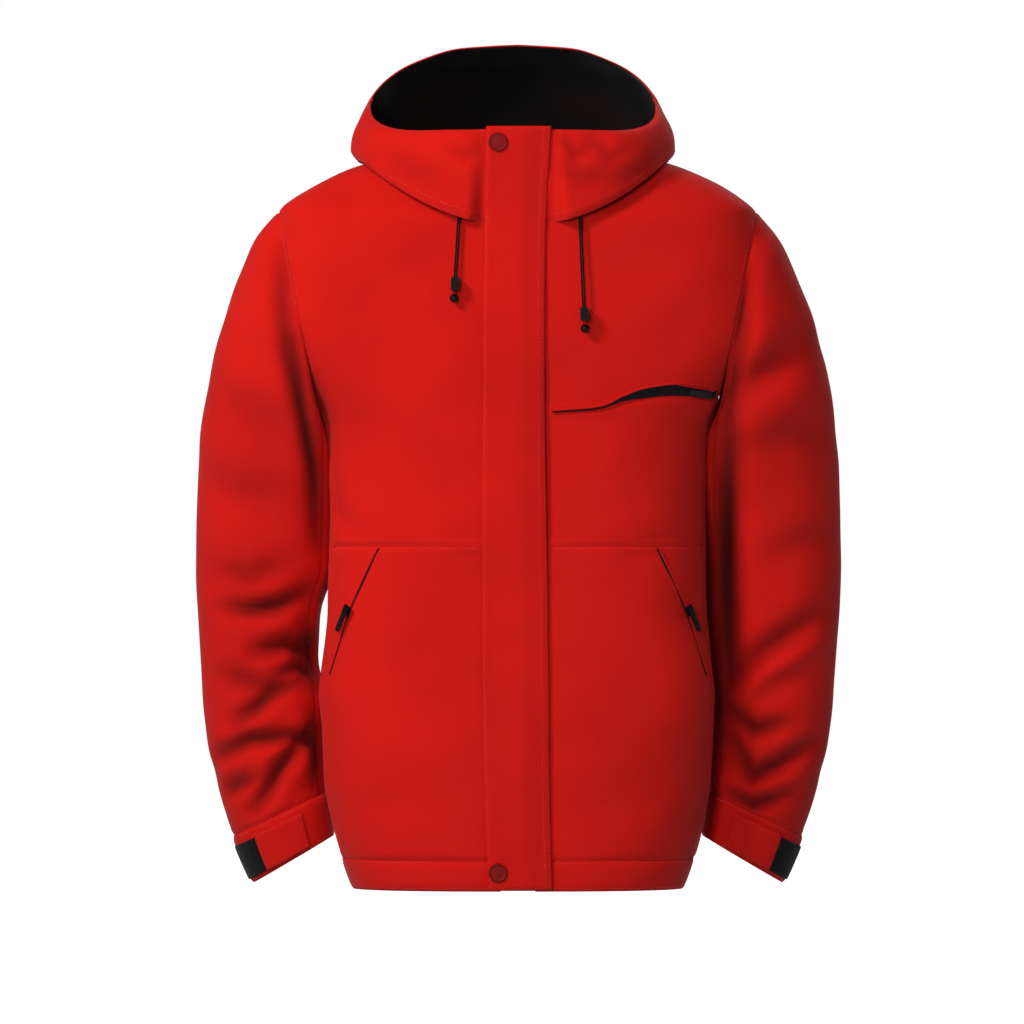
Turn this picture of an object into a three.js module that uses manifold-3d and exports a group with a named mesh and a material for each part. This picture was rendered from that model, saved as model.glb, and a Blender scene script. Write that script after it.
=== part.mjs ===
// Hardshell jacket, hanging open-shouldered as it is worn: front towards -Y, wearer's left towards +X.
// Every cloth panel is a thin closed sheet laid on one of three surfaces: body, sleeve or hood.
// Heights are measured from the hem, and the whole jacket is then set with its hanger loop at the origin.
import * as THREE from 'three';
import { mergeVertices } from 'three/addons/utils/BufferGeometryUtils.js';
import Module from 'manifold-3d';

const wasm = await Module();
wasm.setup();

// ---- cloth and seams (mm) ----
const SHELL = 1.6;
const SEAM_GAP = 1.0;
const LIFT = 0.5;
const FIT_GAP = 0.3;
const PIN_PLAY = 0.5;

// ---- body: plan sections up the height, superellipses about BODY_MID_Y ----
const SQUARENESS = 2.6;
const BODY_MID_Y = -12;
const SECTIONS = [
  { z: 0, half: 166, front: 110, back: 104 },
  { z: 17, half: 173, front: 110, back: 106 },
  { z: 53, half: 183, front: 110, back: 110 },
  { z: 100, half: 193, front: 110, back: 114 },
  { z: 198, half: 198, front: 110, back: 114 },
  { z: 274, half: 189, front: 110, back: 106 },
  { z: 388, half: 188, front: 110, back: 104 },
  { z: 438, half: 191, front: 110, back: 106 },
  { z: 462, half: 195, front: 110, back: 110 },
  { z: 600, half: 226, front: 110, back: 110 },
  { z: 640, half: 233, front: 110, back: 108 },
  { z: 668, half: 236, front: 109, back: 101 },
  { z: 676, half: 238, front: 104, back: 98 },
  { z: 691, half: 220, front: 92, back: 91 },
  { z: 703, half: 199, front: 82, back: 84 },
  { z: 721, half: 160, front: 66, back: 72 },
  { z: 736, half: 104, front: 56, back: 62 },
];

// ---- armhole: an upright oval in a plane that leans in towards the armpit ----
const ARMHOLE_TOP = { x: 238, z: 676 };
const ARMHOLE_FOOT = { x: 195, z: 462 };
const ARMHOLE_DEPTH = 74;
const ARMHOLE_GAP = 2;
const SIDE_SEAM_ANGLE = 78;
const SHOULDER_SEAM_ANGLE = 89.6;

// ---- body seams ----
const HEM_HEIGHT = 30;
const WAIST_Z = 342;
const CHEST_SEAM_Z = 481;
const NECK_FRONT_Z = 656;
const NECK_SIDE_Z = 731;
const NECK_CURVE = 1.2;
const NECK_BACK_Z = 735;
const YOKE_Z = 560;

// ---- main zip and storm flap ----
const FRONT_Y = -122;
const TAPE_WIDTH = 15;
const TAPE_THICK = 1.2;
const CHAIN_WIDTH = 2.6;
const CHAIN_THICK = 2.8;
const CHAIN_GAP = 2;
const ZIP_BOTTOM_Z = 17;
const ZIP_TOP_Z = 748;
const FLAP_FREE_X = -35.5;
const FLAP_SEWN_X = 30;
const FLAP_TOP_Z = 758;
const FLAP_BOTTOM_Z = 1;
const FLAP_THICK = 2;
const FLAP_LIFT = 5.6;
const FLAP_CORNER = 3;
const SNAP_X = -20;
const SNAP_HEIGHTS = { top: 742, bottom: 19 };
const SNAP_CAP_RADIUS = 9.5;
const SNAP_POST_RADIUS = 2.2;
const GUARD_HALF = 22;
const GUARD_THICK = 1;
const GUARD_BEHIND_ZIP = 5.2;

// ---- sleeves: outer and inner edge of each section, with its depth half and mid-line y ----
const SLEEVE_SECTIONS = [
  {
    outer: [ARMHOLE_TOP.x + ARMHOLE_GAP, ARMHOLE_TOP.z],
    inner: [ARMHOLE_FOOT.x + ARMHOLE_GAP, ARMHOLE_FOOT.z],
    depth: ARMHOLE_DEPTH,
    y: BODY_MID_Y,
  },
  { outer: [262, 650], inner: [202, 452], depth: 75, y: -11 },
  { outer: [281, 608], inner: [203, 436], depth: 75, y: -8 },
  { outer: [300, 552], inner: [202, 415], depth: 73, y: -2 },
  { outer: [314, 485], inner: [202, 390], depth: 70, y: 8 },
  { outer: [321, 430], inner: [202, 365], depth: 67, y: 18 },
  { outer: [323, 360], inner: [201, 325], depth: 64, y: 28 },
  { outer: [322, 280], inner: [202, 270], depth: 62, y: 36 },
  { outer: [316, 189], inner: [202, 205], depth: 59, y: 41 },
  { outer: [309, 128], inner: [201, 160], depth: 56, y: 42 },
  { outer: [285, 45], inner: [195, 92], depth: 50, y: 42 },
];
const CUFF_MOUTH = { outer: [266, 4], inner: [186, 52], depth: 46, y: 42 };
const SLEEVE_SQUARENESS = 2.2;
const UNDERARM_ANGLE = 125;
const CUFF_THICK = 2.4;
const CUFF_OVERCUT = 0.3;
const PATCH_THICK = 1.2;
const PATCH_ANGLES = [-22, 100];
const TAB_THICK = 1.6;
const TAB_ANGLES = [58, 112];
const CUFF_PIECE_SPAN = [0.14, 0.88];

// ---- hood: a front half each side of the zip, and a crown that lies back behind the neck ----
const HOOD_SEAM_ANGLE = 98;
const HOOD_HEM = { half: 160, front: 122, back: 118, centreZ: 660, sideZ: 729 };
const HOOD_HEM_CURVE = 2.2;
const HOOD_FLARE = { reach: 14, from: 36, to: 50 };
const HOOD_RIM = { half: 146, front: 122, back: 122 };
const RIM_HEIGHTS = [
  [0, 757], [52, 758], [66, 763], [78, 772], [90, 783], [110, 796], [135, 818], [160, 838], [180, 843],
];
const HOOD_BULGE = 5;
const HOOD_SEAM_GAP = 0.6;
const CROWN_SQUARENESS = 2.2;
const CROWN_TUCK = 0.9;
const CROWN_RINGS = [
  { half: 112, back: 66, z: 744 },
  { half: 130, back: 108, z: 690 },
  { half: 138, back: 142, z: 653 },
  { half: 146, back: 186, z: 736 },
  { half: 138, back: 168, z: 812 },
];
const COLLAR_TOP = { half: 86, front: 107, back: 46, z: 758 };

// ---- pockets ----
const ZIP_STRIP_WIDTH = 12;
const ZIP_STRIP_THICK = 1.4;
const ZIP_STRIP_LIFT = 1.6;
const HAND_POCKET = [[138, 340], [166, 278], [187, 214]];
const HAND_SLIDER_AT = 0.5;
const CHEST_POCKET = [[34, 475], [80, 479], [104, 488], [128, 494], [160, 497], [196, 493]];
const CHEST_SLIDER_AT = 0.93;
const BAG_DEPTH = 4.6;
const BAG_THICK = 1.2;

// ---- hanger loop ----
const LOOP_Z = 750;
const LOOP_WIDTH = 7;
const LOOP_THICK = 1.4;
const LOOP_HALF_SPAN = 26;
const LOOP_SAG = 12;
const LOOP_REST_Y = 32;

// ---- hood drawcords: top and foot of each pair of strands ----
const CORD_DIAMETER = 1.8;
const STRAND_SPREAD = 2.8;
const CORD_TOP_Y = -124.8;
const CORD_FOOT_Y = -127.4;
const CORDS = {
  right: { top: [-58, 674], foot: [-63, 592] },
  left: { top: [61, 677], foot: [66, 562] },
};
const LOCK_HEIGHT = 13;
const LOCK_WIDTH = 8;
const LOCK_DEPTH = 10;
const LOCK_ABOVE_FOOT = 3;
const PLUNGER_RADIUS = 2;
const PLUNGER_OUT = 2.4;
const PLUNGER_TRAVEL = 2;
const BEAD_RADIUS = 4.4;
const EYELET = { inner: 2.8, outer: 4, height: 3 };

const FINISH = {
  shell: { color: 0xcb1b15, roughness: 0.78, metalness: 0 },
  cap: { color: 0x8f1714, roughness: 0.45, metalness: 0.1 },
  lining: { color: 0x111113, roughness: 0.9, metalness: 0 },
  zip: { color: 0x0d0d0f, roughness: 0.6, metalness: 0 },
  slider: { color: 0x19191b, roughness: 0.4, metalness: 0.6 },
  cord: { color: 0x0e0e10, roughness: 0.85, metalness: 0 },
  plastic: { color: 0x141416, roughness: 0.5, metalness: 0 },
  steel: { color: 0x8a8d90, roughness: 0.35, metalness: 1 },
};

const jacket = new THREE.Group();
const { degToRad, radToDeg, lerp, clamp, smoothstep } = THREE.MathUtils;
const SIDES = { right: -1, left: 1 };

// ---- solids ----
function closed(geometry) {
  const bare = geometry.clone();
  bare.deleteAttribute('normal');
  bare.deleteAttribute('uv');
  const merged = mergeVertices(bare, 1e-3);
  if (signedVolume(merged) < 0) merged.index.array.reverse();
  merged.computeVertexNormals();
  return merged;
}

function signedVolume(geometry) {
  const { position } = geometry.attributes;
  const corner = [0, 1, 2].map(() => new THREE.Vector3());
  let volume = 0;
  for (let i = 0; i < geometry.index.count; i += 3) {
    corner.forEach((point, k) => point.fromBufferAttribute(position, geometry.index.getX(i + k)));
    volume += corner[0].dot(corner[1].clone().cross(corner[2])) / 6;
  }
  return volume;
}

function toManifold(geometry) {
  const solid = closed(geometry);
  return new wasm.Manifold(new wasm.Mesh({
    numProp: 3,
    vertProperties: new Float32Array(solid.attributes.position.array),
    triVerts: new Uint32Array(solid.index.array),
  }));
}

function fromManifold(manifold) {
  const mesh = manifold.getMesh();
  const geometry = new THREE.BufferGeometry();
  geometry.setAttribute('position', new THREE.BufferAttribute(mesh.vertProperties, 3));
  geometry.setIndex(new THREE.BufferAttribute(mesh.triVerts, 1));
  return closed(geometry);
}

function joined(...geometries) {
  return fromManifold(geometries.map(toManifold).reduce((whole, piece) => whole.add(piece)));
}

function cut(geometry, ...tools) {
  const solids = tools.map(toManifold);
  return fromManifold(solids.reduce((whole, tool) => whole.subtract(tool), toManifold(geometry)));
}

function place(name, geometry, finish) {
  const mesh = new THREE.Mesh(geometry, new THREE.MeshStandardMaterial(FINISH[finish]));
  mesh.name = name;
  jacket.add(mesh);
  return mesh;
}

function box(width, depth, height, x, y, z) {
  return new THREE.BoxGeometry(width, depth, height).translate(x, y, z);
}

// A round bar along Y, from y0 to y1.
function barY(radius, y0, y1, x, z, sides = 16) {
  return new THREE.CylinderGeometry(radius, radius, y1 - y0, sides).translate(x, (y0 + y1) / 2, z);
}

// ---- sheets: spot(u, v) is a point of a surface; the sheet lies from inner to outer off it ----
function outwardNormal(spot, u, v, step = 0.004) {
  const alongU = spot(Math.min(u + step, 1), v).sub(spot(Math.max(u - step, 0), v));
  const alongV = spot(u, Math.min(v + step, 1)).sub(spot(u, Math.max(v - step, 0)));
  return alongU.cross(alongV).normalize();
}

function sheet(spot, columns, rows, inner, outer) {
  const geometry = new THREE.BoxGeometry(1, 1, 1, columns, rows, 1);
  const { position } = geometry.attributes;
  for (let i = 0; i < position.count; i++) {
    const u = position.getX(i) + 0.5;
    const v = position.getY(i) + 0.5;
    const off = lerp(inner, outer, position.getZ(i) + 0.5);
    const point = spot(u, v).addScaledVector(outwardNormal(spot, u, v), off);
    position.setXYZ(i, point.x, point.y, point.z);
  }
  return closed(geometry);
}

function mirrored(spot, side) {
  if (side > 0) return spot;
  return (u, v) => spot(1 - u, v).multiply(new THREE.Vector3(-1, 1, 1));
}

// ---- the body surface ----
function armholeX(z) {
  return lerp(ARMHOLE_FOOT.x, ARMHOLE_TOP.x, (z - ARMHOLE_FOOT.z) / (ARMHOLE_TOP.z - ARMHOLE_FOOT.z));
}

function armholeDepth(z) {
  const middle = (ARMHOLE_TOP.z + ARMHOLE_FOOT.z) / 2;
  const reach = (z - middle) / (ARMHOLE_TOP.z - middle);
  return ARMHOLE_DEPTH * Math.sqrt(Math.max(0, 1 - reach * reach));
}

function inArmhole(z) {
  return z > ARMHOLE_FOOT.z && z < ARMHOLE_TOP.z;
}

function bodySection(z) {
  let i = 1;
  while (i < SECTIONS.length - 1 && SECTIONS[i].z < z) i++;
  const [low, high] = [SECTIONS[i - 1], SECTIONS[i]];
  const t = clamp((z - low.z) / (high.z - low.z), 0, 1);
  const section = {
    half: lerp(low.half, high.half, t),
    front: lerp(low.front, high.front, t),
    back: lerp(low.back, high.back, t),
  };
  if (inArmhole(z)) {
    const share = 1 - (armholeDepth(z) / section.front) ** SQUARENESS;
    section.half = armholeX(z) / share ** (1 / SQUARENESS);
  }
  return section;
}

function superPoint(angle, half, front, back, midY, z, squareness = SQUARENESS) {
  const across = Math.sin(degToRad(angle));
  const along = -Math.cos(degToRad(angle));
  const bend = (value) => Math.sign(value) * Math.abs(value) ** (2 / squareness);
  return new THREE.Vector3(half * bend(across), midY + (along < 0 ? front : back) * bend(along), z);
}

// Angle 0 is the front line, 90 the wearer's left side, 180 the back line.
function bodyPoint(angle, z) {
  const { half, front, back } = bodySection(z);
  return superPoint(angle, half, front, back, BODY_MID_Y, z);
}

function angleAtX(x, z) {
  return radToDeg(Math.asin(Math.min(1, (x / bodySection(z).half) ** (SQUARENESS / 2))));
}

function frontPoint(x, z) {
  return bodyPoint(angleAtX(x, z), z);
}

// The panels end at the side seam low down, at the armhole beside the sleeve, and at the
// shoulder seam above it.
function sideAngle(z) {
  if (z >= ARMHOLE_TOP.z) return SHOULDER_SEAM_ANGLE;
  if (!inArmhole(z)) return SIDE_SEAM_ANGLE;
  const limit = z > (ARMHOLE_TOP.z + ARMHOLE_FOOT.z) / 2 ? SHOULDER_SEAM_ANGLE : SIDE_SEAM_ANGLE;
  return Math.min(limit, angleAtX(armholeX(z), z));
}

// Half a seam's gap, as an angle at the shoulder.
const SEAM_ANGLE = radToDeg(SEAM_GAP / ARMHOLE_TOP.x);

// ---- body panels ----
const ZIP_EDGE_X = CHAIN_GAP / 2 + TAPE_WIDTH + SEAM_GAP;

function neckZ(angle) {
  const turn = Math.min(1, angle / SHOULDER_SEAM_ANGLE);
  if (turn < 1) return lerp(NECK_FRONT_Z, NECK_SIDE_Z, turn ** NECK_CURVE);
  return lerp(NECK_SIDE_Z, NECK_BACK_Z, (angle - SHOULDER_SEAM_ANGLE) / (180 - SHOULDER_SEAM_ANGLE));
}

function frontPanel(side, lowZ, highZ) {
  const spot = (u, v) => {
    const z = lerp(lowZ + SEAM_GAP / 2, highZ(u) - SEAM_GAP / 2, v);
    const from = angleAtX(ZIP_EDGE_X, z);
    return bodyPoint(lerp(from, sideAngle(z) - SEAM_ANGLE, u), z);
  };
  return (columns, rows) => sheet(mirrored(spot, side), columns, rows, -SHELL / 2, SHELL / 2);
}

function chestSeamZ(u) {
  return CHEST_SEAM_Z + ZIP_STRIP_WIDTH * smoothstep(u, 0.1, 0.6);
}

const neckLine = (u) => neckZ(u * SHOULDER_SEAM_ANGLE) - SEAM_GAP;

for (const [name, side] of Object.entries(SIDES)) {
  place(`front_${name}_lower`, frontPanel(side, HEM_HEIGHT, () => WAIST_Z)(7, 8), 'shell');
}
place('front_right_upper', frontPanel(SIDES.right, WAIST_Z, neckLine)(7, 13), 'shell');
place('front_left_upper', frontPanel(SIDES.left, WAIST_Z, chestSeamZ)(7, 4), 'shell');

function leftYokeSpot(u, v) {
  const z = lerp(chestSeamZ(u) + SEAM_GAP / 2, neckLine(u) - SEAM_GAP / 2, v);
  return bodyPoint(lerp(angleAtX(ZIP_EDGE_X, z), sideAngle(z) - SEAM_ANGLE, u), z);
}
place('front_left_yoke', sheet(leftYokeSpot, 7, 9, -SHELL / 2, SHELL / 2), 'shell');

function sidePanel(side) {
  const top = ARMHOLE_FOOT.z - SEAM_GAP;
  const spot = (u, v) => bodyPoint(
    lerp(SIDE_SEAM_ANGLE + SEAM_ANGLE, 180 - SIDE_SEAM_ANGLE - SEAM_ANGLE, u),
    lerp(HEM_HEIGHT + SEAM_GAP / 2, top, v),
  );
  return sheet(mirrored(spot, side), 3, 10, -SHELL / 2, SHELL / 2);
}

function backPanel(lowZ, highZ, columns, rows) {
  const spot = (u, v) => {
    const z = lerp(lowZ + SEAM_GAP / 2, highZ(u) - SEAM_GAP / 2, v);
    const from = 180 - sideAngle(z) + SEAM_ANGLE;
    return bodyPoint(lerp(from, 360 - from, u), z);
  };
  return sheet(spot, columns, rows, -SHELL / 2, SHELL / 2);
}

function backNeckLine(u) {
  return lerp(NECK_BACK_Z, NECK_SIDE_Z, Math.abs(2 * u - 1)) - SEAM_GAP;
}

for (const [name, side] of Object.entries(SIDES)) {
  place(`side_panel_${name}`, sidePanel(side), 'shell');
}
place('back_panel', backPanel(HEM_HEIGHT, () => YOKE_Z, 12, 12), 'shell');
place('back_yoke', backPanel(YOKE_Z, backNeckLine, 12, 8), 'shell');

function hemSpot(u, v) {
  const z = lerp(0, HEM_HEIGHT - SEAM_GAP / 2, v);
  const from = angleAtX(ZIP_EDGE_X, z);
  return bodyPoint(lerp(from, 360 - from, u), z);
}
place('hem_band', sheet(hemSpot, 36, 1, -SHELL / 2, SHELL / 2), 'shell');

// ---- main zip ----
function zipTape(side) {
  const inner = CHAIN_GAP / 2;
  const outline = new THREE.Shape();
  outline.moveTo(inner, -CHAIN_THICK / 2);
  outline.lineTo(inner + CHAIN_WIDTH, -CHAIN_THICK / 2);
  outline.lineTo(inner + CHAIN_WIDTH, -TAPE_THICK / 2);
  outline.lineTo(inner + TAPE_WIDTH, -TAPE_THICK / 2);
  outline.lineTo(inner + TAPE_WIDTH, TAPE_THICK / 2);
  outline.lineTo(inner + CHAIN_WIDTH, TAPE_THICK / 2);
  outline.lineTo(inner + CHAIN_WIDTH, CHAIN_THICK / 2);
  outline.lineTo(inner, CHAIN_THICK / 2);
  const strip = new THREE.ExtrudeGeometry(outline, { depth: ZIP_TOP_Z - ZIP_BOTTOM_Z, bevelEnabled: false });
  return closed(strip.translate(0, FRONT_Y, ZIP_BOTTOM_Z).scale(side, 1, 1));
}
for (const [name, side] of Object.entries(SIDES)) {
  place(`zip_tape_${name}`, zipTape(side), 'zip');
}

const RETAINER = { width: 9, depth: 4.4, height: 9 };
place('zip_retainer_box', box(RETAINER.width, RETAINER.depth, RETAINER.height, 0, FRONT_Y,
  ZIP_BOTTOM_Z - FIT_GAP - RETAINER.height / 2), 'slider');

const SLIDER = { width: 10, height: 12, plate: 1.1, bridge: 1, z: 741 };
const PULL = { width: 7, length: 30, thick: 1.1, hole: 2.3, pin: 1.7, eyeZ: 4 };
const sliderFront = FRONT_Y - CHAIN_THICK / 2 - FIT_GAP - SLIDER.plate;
const pullBack = sliderFront - FIT_GAP;

function sliderBody() {
  const back = FRONT_Y + CHAIN_THICK / 2 + FIT_GAP + SLIDER.plate;
  return joined(
    box(SLIDER.width, SLIDER.plate, SLIDER.height, 0, sliderFront + SLIDER.plate / 2, SLIDER.z),
    box(SLIDER.width, SLIDER.plate, SLIDER.height, 0, back - SLIDER.plate / 2, SLIDER.z),
    box(SLIDER.bridge, back - sliderFront - SLIDER.plate, SLIDER.height - 2,
      0, (back + sliderFront) / 2, SLIDER.z),
    barY(PULL.pin, pullBack - PULL.thick, sliderFront + SLIDER.plate / 2, 0, SLIDER.z, 12),
  );
}
place('main_slider', sliderBody(), 'slider');

// A flat puller in the XZ plane with its eye at the origin and its tip towards -Z, pushed back along +Y.
function pullPlate({ width, length, thick, hole, eyeZ }) {
  const outline = new THREE.Shape();
  const half = width / 2;
  outline.moveTo(-half, eyeZ);
  outline.lineTo(-half, half - length);
  outline.absarc(0, half - length, half, Math.PI, 2 * Math.PI, false);
  outline.lineTo(half, eyeZ);
  outline.closePath();
  outline.holes.push(new THREE.Path().absarc(0, 0, hole, 0, 2 * Math.PI, true));
  const plate = new THREE.ExtrudeGeometry(outline, { depth: thick, bevelEnabled: false, curveSegments: 8 });
  return plate.rotateX(Math.PI / 2);
}
place('main_pull', closed(pullPlate(PULL).translate(0, pullBack, SLIDER.z)), 'slider');

const guardTopZ = ZIP_TOP_Z - SEAM_GAP;
place('zip_guard', box(GUARD_HALF * 2, GUARD_THICK, guardTopZ - ZIP_BOTTOM_Z, 0, FRONT_Y + GUARD_BEHIND_ZIP,
  (guardTopZ + ZIP_BOTTOM_Z) / 2), 'lining');

// ---- storm flap with its snaps ----
const flapInnerY = FRONT_Y - FLAP_LIFT;
const flapOuterY = flapInnerY - FLAP_THICK;

function stormFlap() {
  const outline = new THREE.Shape();
  const [x0, x1, z0, z1, r] = [FLAP_FREE_X, FLAP_SEWN_X, FLAP_BOTTOM_Z, FLAP_TOP_Z, FLAP_CORNER];
  outline.moveTo(x0 + r, z0);
  outline.lineTo(x1, z0);
  outline.lineTo(x1, z1);
  outline.lineTo(x0 + r, z1);
  outline.absarc(x0 + r, z1 - r, r, Math.PI / 2, Math.PI, false);
  outline.absarc(x0 + r, z0 + r, r, Math.PI, Math.PI * 1.5, false);
  for (const z of Object.values(SNAP_HEIGHTS)) {
    outline.holes.push(new THREE.Path().absarc(SNAP_X, z, SNAP_POST_RADIUS + FIT_GAP, 0, 2 * Math.PI, true));
  }
  const extrusion = { depth: FLAP_THICK, bevelEnabled: false, curveSegments: 8 };
  const flap = new THREE.ExtrudeGeometry(outline, extrusion);
  return closed(flap.rotateX(Math.PI / 2).translate(0, flapInnerY, 0));
}
place('storm_flap', stormFlap(), 'shell');

const SOCKET = { radius: 6, depth: 2.2, bore: 3, floor: 0.7 };
const CAP = { rim: 1.7, edge: 1, dish: 1.2, crown: 1.6 };
const STUD = { base: 6, baseThick: 0.9, neck: 2.3 };

// Cap on the outside, post through the flap, and a socket with a blind bore on the inside.
function snapCap(z) {
  const capRings = [[0, 0], [SNAP_CAP_RADIUS, 0], [SNAP_CAP_RADIUS, CAP.edge],
    [SNAP_CAP_RADIUS - 1, CAP.rim], [SNAP_CAP_RADIUS - 2, CAP.dish], [0, CAP.crown]];
  const capProfile = capRings.map(([r, h]) => new THREE.Vector2(r, h));
  const dome = new THREE.LatheGeometry(capProfile, 20).rotateX(Math.PI)
    .translate(SNAP_X, flapOuterY - FIT_GAP, z);
  const post = barY(SNAP_POST_RADIUS, flapOuterY - FIT_GAP - 0.5, flapInnerY + FIT_GAP + 0.5, SNAP_X, z);
  const socket = barY(SOCKET.radius, flapInnerY + FIT_GAP, flapInnerY + FIT_GAP + SOCKET.depth, SNAP_X, z);
  const boreFloor = flapInnerY + FIT_GAP + SOCKET.floor;
  const bore = barY(SOCKET.bore, boreFloor, flapInnerY + SOCKET.depth + 2, SNAP_X, z);
  return cut(joined(dome, post, socket), bore);
}

function snapStud(z) {
  const baseBack = FRONT_Y - SHELL / 2 - FIT_GAP;
  const baseFront = baseBack - STUD.baseThick;
  const tip = flapInnerY + FIT_GAP + SOCKET.floor + FIT_GAP;
  return joined(
    barY(STUD.base, baseFront, baseBack, SNAP_X, z),
    barY(STUD.neck, tip, baseBack - STUD.baseThick / 2, SNAP_X, z),
  );
}
for (const [name, z] of Object.entries(SNAP_HEIGHTS)) {
  place(`snap_cap_${name}`, snapCap(z), 'cap');
  place(`snap_stud_${name}`, snapStud(z), 'steel');
}

// ---- sleeves ----
const ALL_SLEEVE_SECTIONS = [...SLEEVE_SECTIONS, CUFF_MOUTH];
const CUFF_SEAM_AT = SLEEVE_SECTIONS.length - 1;

// along runs over the sections; angle 0 is the outer edge, 90 the front line, 180 the inner edge.
function sleevePoint(along, angle) {
  const i = clamp(Math.floor(along), 0, ALL_SLEEVE_SECTIONS.length - 2);
  const [a, b] = [ALL_SLEEVE_SECTIONS[i], ALL_SLEEVE_SECTIONS[i + 1]];
  const t = along - i;
  const mix = (key, axis) => lerp(a[key][axis], b[key][axis], t);
  const outer = new THREE.Vector3(mix('outer', 0), 0, mix('outer', 1));
  const inner = new THREE.Vector3(mix('inner', 0), 0, mix('inner', 1));
  const turned = superPoint(90 - angle, 1, 1, 1, 0, 0, SLEEVE_SQUARENESS);
  const centre = outer.clone().add(inner).multiplyScalar(0.5);
  const point = centre.addScaledVector(outer.clone().sub(inner), turned.x / 2);
  point.y = lerp(a.y, b.y, t) + turned.y * lerp(a.depth, b.depth, t);
  return point;
}

function sleeveSheet(side, [from, to], [start, end], columns, rows, inner, outer) {
  const spot = (u, v) => sleevePoint(lerp(start, end, v), lerp(from, to, u));
  return sheet(mirrored(spot, side), columns, rows, inner, outer);
}

const SLEEVE_START = 0;
const SLEEVE_END = CUFF_SEAM_AT - 0.012;
const CUFF_START = CUFF_SEAM_AT + 0.012;
const CUFF_END = ALL_SLEEVE_SECTIONS.length - 1;
const UPPER_REACH = UNDERARM_ANGLE - 0.7;

for (const [name, side] of Object.entries(SIDES)) {
  const run = [SLEEVE_END, SLEEVE_START];
  place(`sleeve_${name}_upper`,
    sleeveSheet(side, [UPPER_REACH, -UPPER_REACH], run, 12, 10, -SHELL / 2, SHELL / 2), 'shell');
  place(`sleeve_${name}_under`,
    sleeveSheet(side, [360 - UNDERARM_ANGLE, UNDERARM_ANGLE], run, 5, 10, -SHELL / 2, SHELL / 2), 'shell');
}

// The cuff is a full ring, so it is a tube made by cutting a smaller loft out of a larger one.
function cuffLoft(side, off, start, end, sides = 20) {
  const positions = [];
  const index = [];
  const rings = [start, end];
  rings.forEach((along) => {
    const middle = sleevePoint(along, 0).add(sleevePoint(along, 180)).multiplyScalar(0.5);
    positions.push(middle);
    for (let k = 0; k < sides; k++) {
      const rim = sleevePoint(along, k * 360 / sides);
      positions.push(rim.add(rim.clone().sub(middle).normalize().multiplyScalar(off)));
    }
  });
  const at = (ring, k) => ring * (sides + 1) + (k < 0 ? 0 : 1 + (k % sides));
  for (let k = 0; k < sides; k++) {
    index.push(at(0, -1), at(0, k), at(0, k + 1), at(1, -1), at(1, k + 1), at(1, k));
    index.push(at(0, k), at(1, k), at(1, k + 1), at(0, k), at(1, k + 1), at(0, k + 1));
  }
  const geometry = new THREE.BufferGeometry();
  const flat = positions.flatMap((p) => [p.x * side, p.y, p.z]);
  geometry.setAttribute('position', new THREE.Float32BufferAttribute(flat, 3));
  geometry.setIndex(index);
  return geometry;
}

function cuffPiece(side, angles, thick, lift, columns) {
  const [from, to] = angles;
  const reach = CUFF_PIECE_SPAN.map((share) => lerp(CUFF_START, CUFF_END, share));
  return sleeveSheet(side, [to, from], [reach[1], reach[0]], columns, 1, lift, lift + thick);
}

for (const [name, side] of Object.entries(SIDES)) {
  place(`cuff_band_${name}`, cut(
    cuffLoft(side, CUFF_THICK / 2, CUFF_START, CUFF_END),
    cuffLoft(side, -CUFF_THICK / 2, CUFF_START - CUFF_OVERCUT, CUFF_END + CUFF_OVERCUT),
  ), 'shell');
  const patchLift = CUFF_THICK / 2 + LIFT;
  const tabLift = patchLift + PATCH_THICK + LIFT;
  place(`cuff_patch_${name}`, cuffPiece(side, PATCH_ANGLES, PATCH_THICK, patchLift, 12), 'lining');
  place(`cuff_tab_${name}`, cuffPiece(side, TAB_ANGLES, TAB_THICK, tabLift, 6), 'shell');
}

// ---- hood ----
function rimZ(angle) {
  const turn = Math.abs(angle) > 180 ? 360 - Math.abs(angle) : Math.abs(angle);
  let i = 1;
  while (i < RIM_HEIGHTS.length - 1 && RIM_HEIGHTS[i][0] < turn) i++;
  const [[a0, z0], [a1, z1]] = [RIM_HEIGHTS[i - 1], RIM_HEIGHTS[i]];
  return lerp(z0, z1, (turn - a0) / (a1 - a0));
}

function hoodHem(angle) {
  const { half, front, back, centreZ, sideZ } = HOOD_HEM;
  const point = superPoint(angle, half, front, back, 0, 0);
  point.z = lerp(centreZ, sideZ, (Math.abs(point.x) / half) ** HOOD_HEM_CURVE);
  const facing = clamp(-point.y / front, 0, 1);
  point.y -= HOOD_FLARE.reach * facing * smoothstep(Math.abs(point.x), HOOD_FLARE.from, HOOD_FLARE.to);
  return point;
}

function hoodRim(angle) {
  return superPoint(angle, HOOD_RIM.half, HOOD_RIM.front, HOOD_RIM.back, 0, rimZ(angle));
}

function hoodFrontSpot(u, v) {
  const start = radToDeg(Math.asin((ZIP_EDGE_X / HOOD_RIM.half) ** (SQUARENESS / 2)));
  const angle = lerp(start, HOOD_SEAM_ANGLE - HOOD_SEAM_GAP, u);
  const [low, high] = [hoodHem(angle), hoodRim(angle)];
  const out = new THREE.Vector3(low.x / HOOD_HEM.half, low.y / HOOD_HEM.front, 0).normalize();
  const bulge = HOOD_BULGE * Math.sin(Math.PI * v) * smoothstep(u, 0.1, 0.4);
  return low.lerp(high, v).addScaledVector(out, bulge);
}

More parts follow.
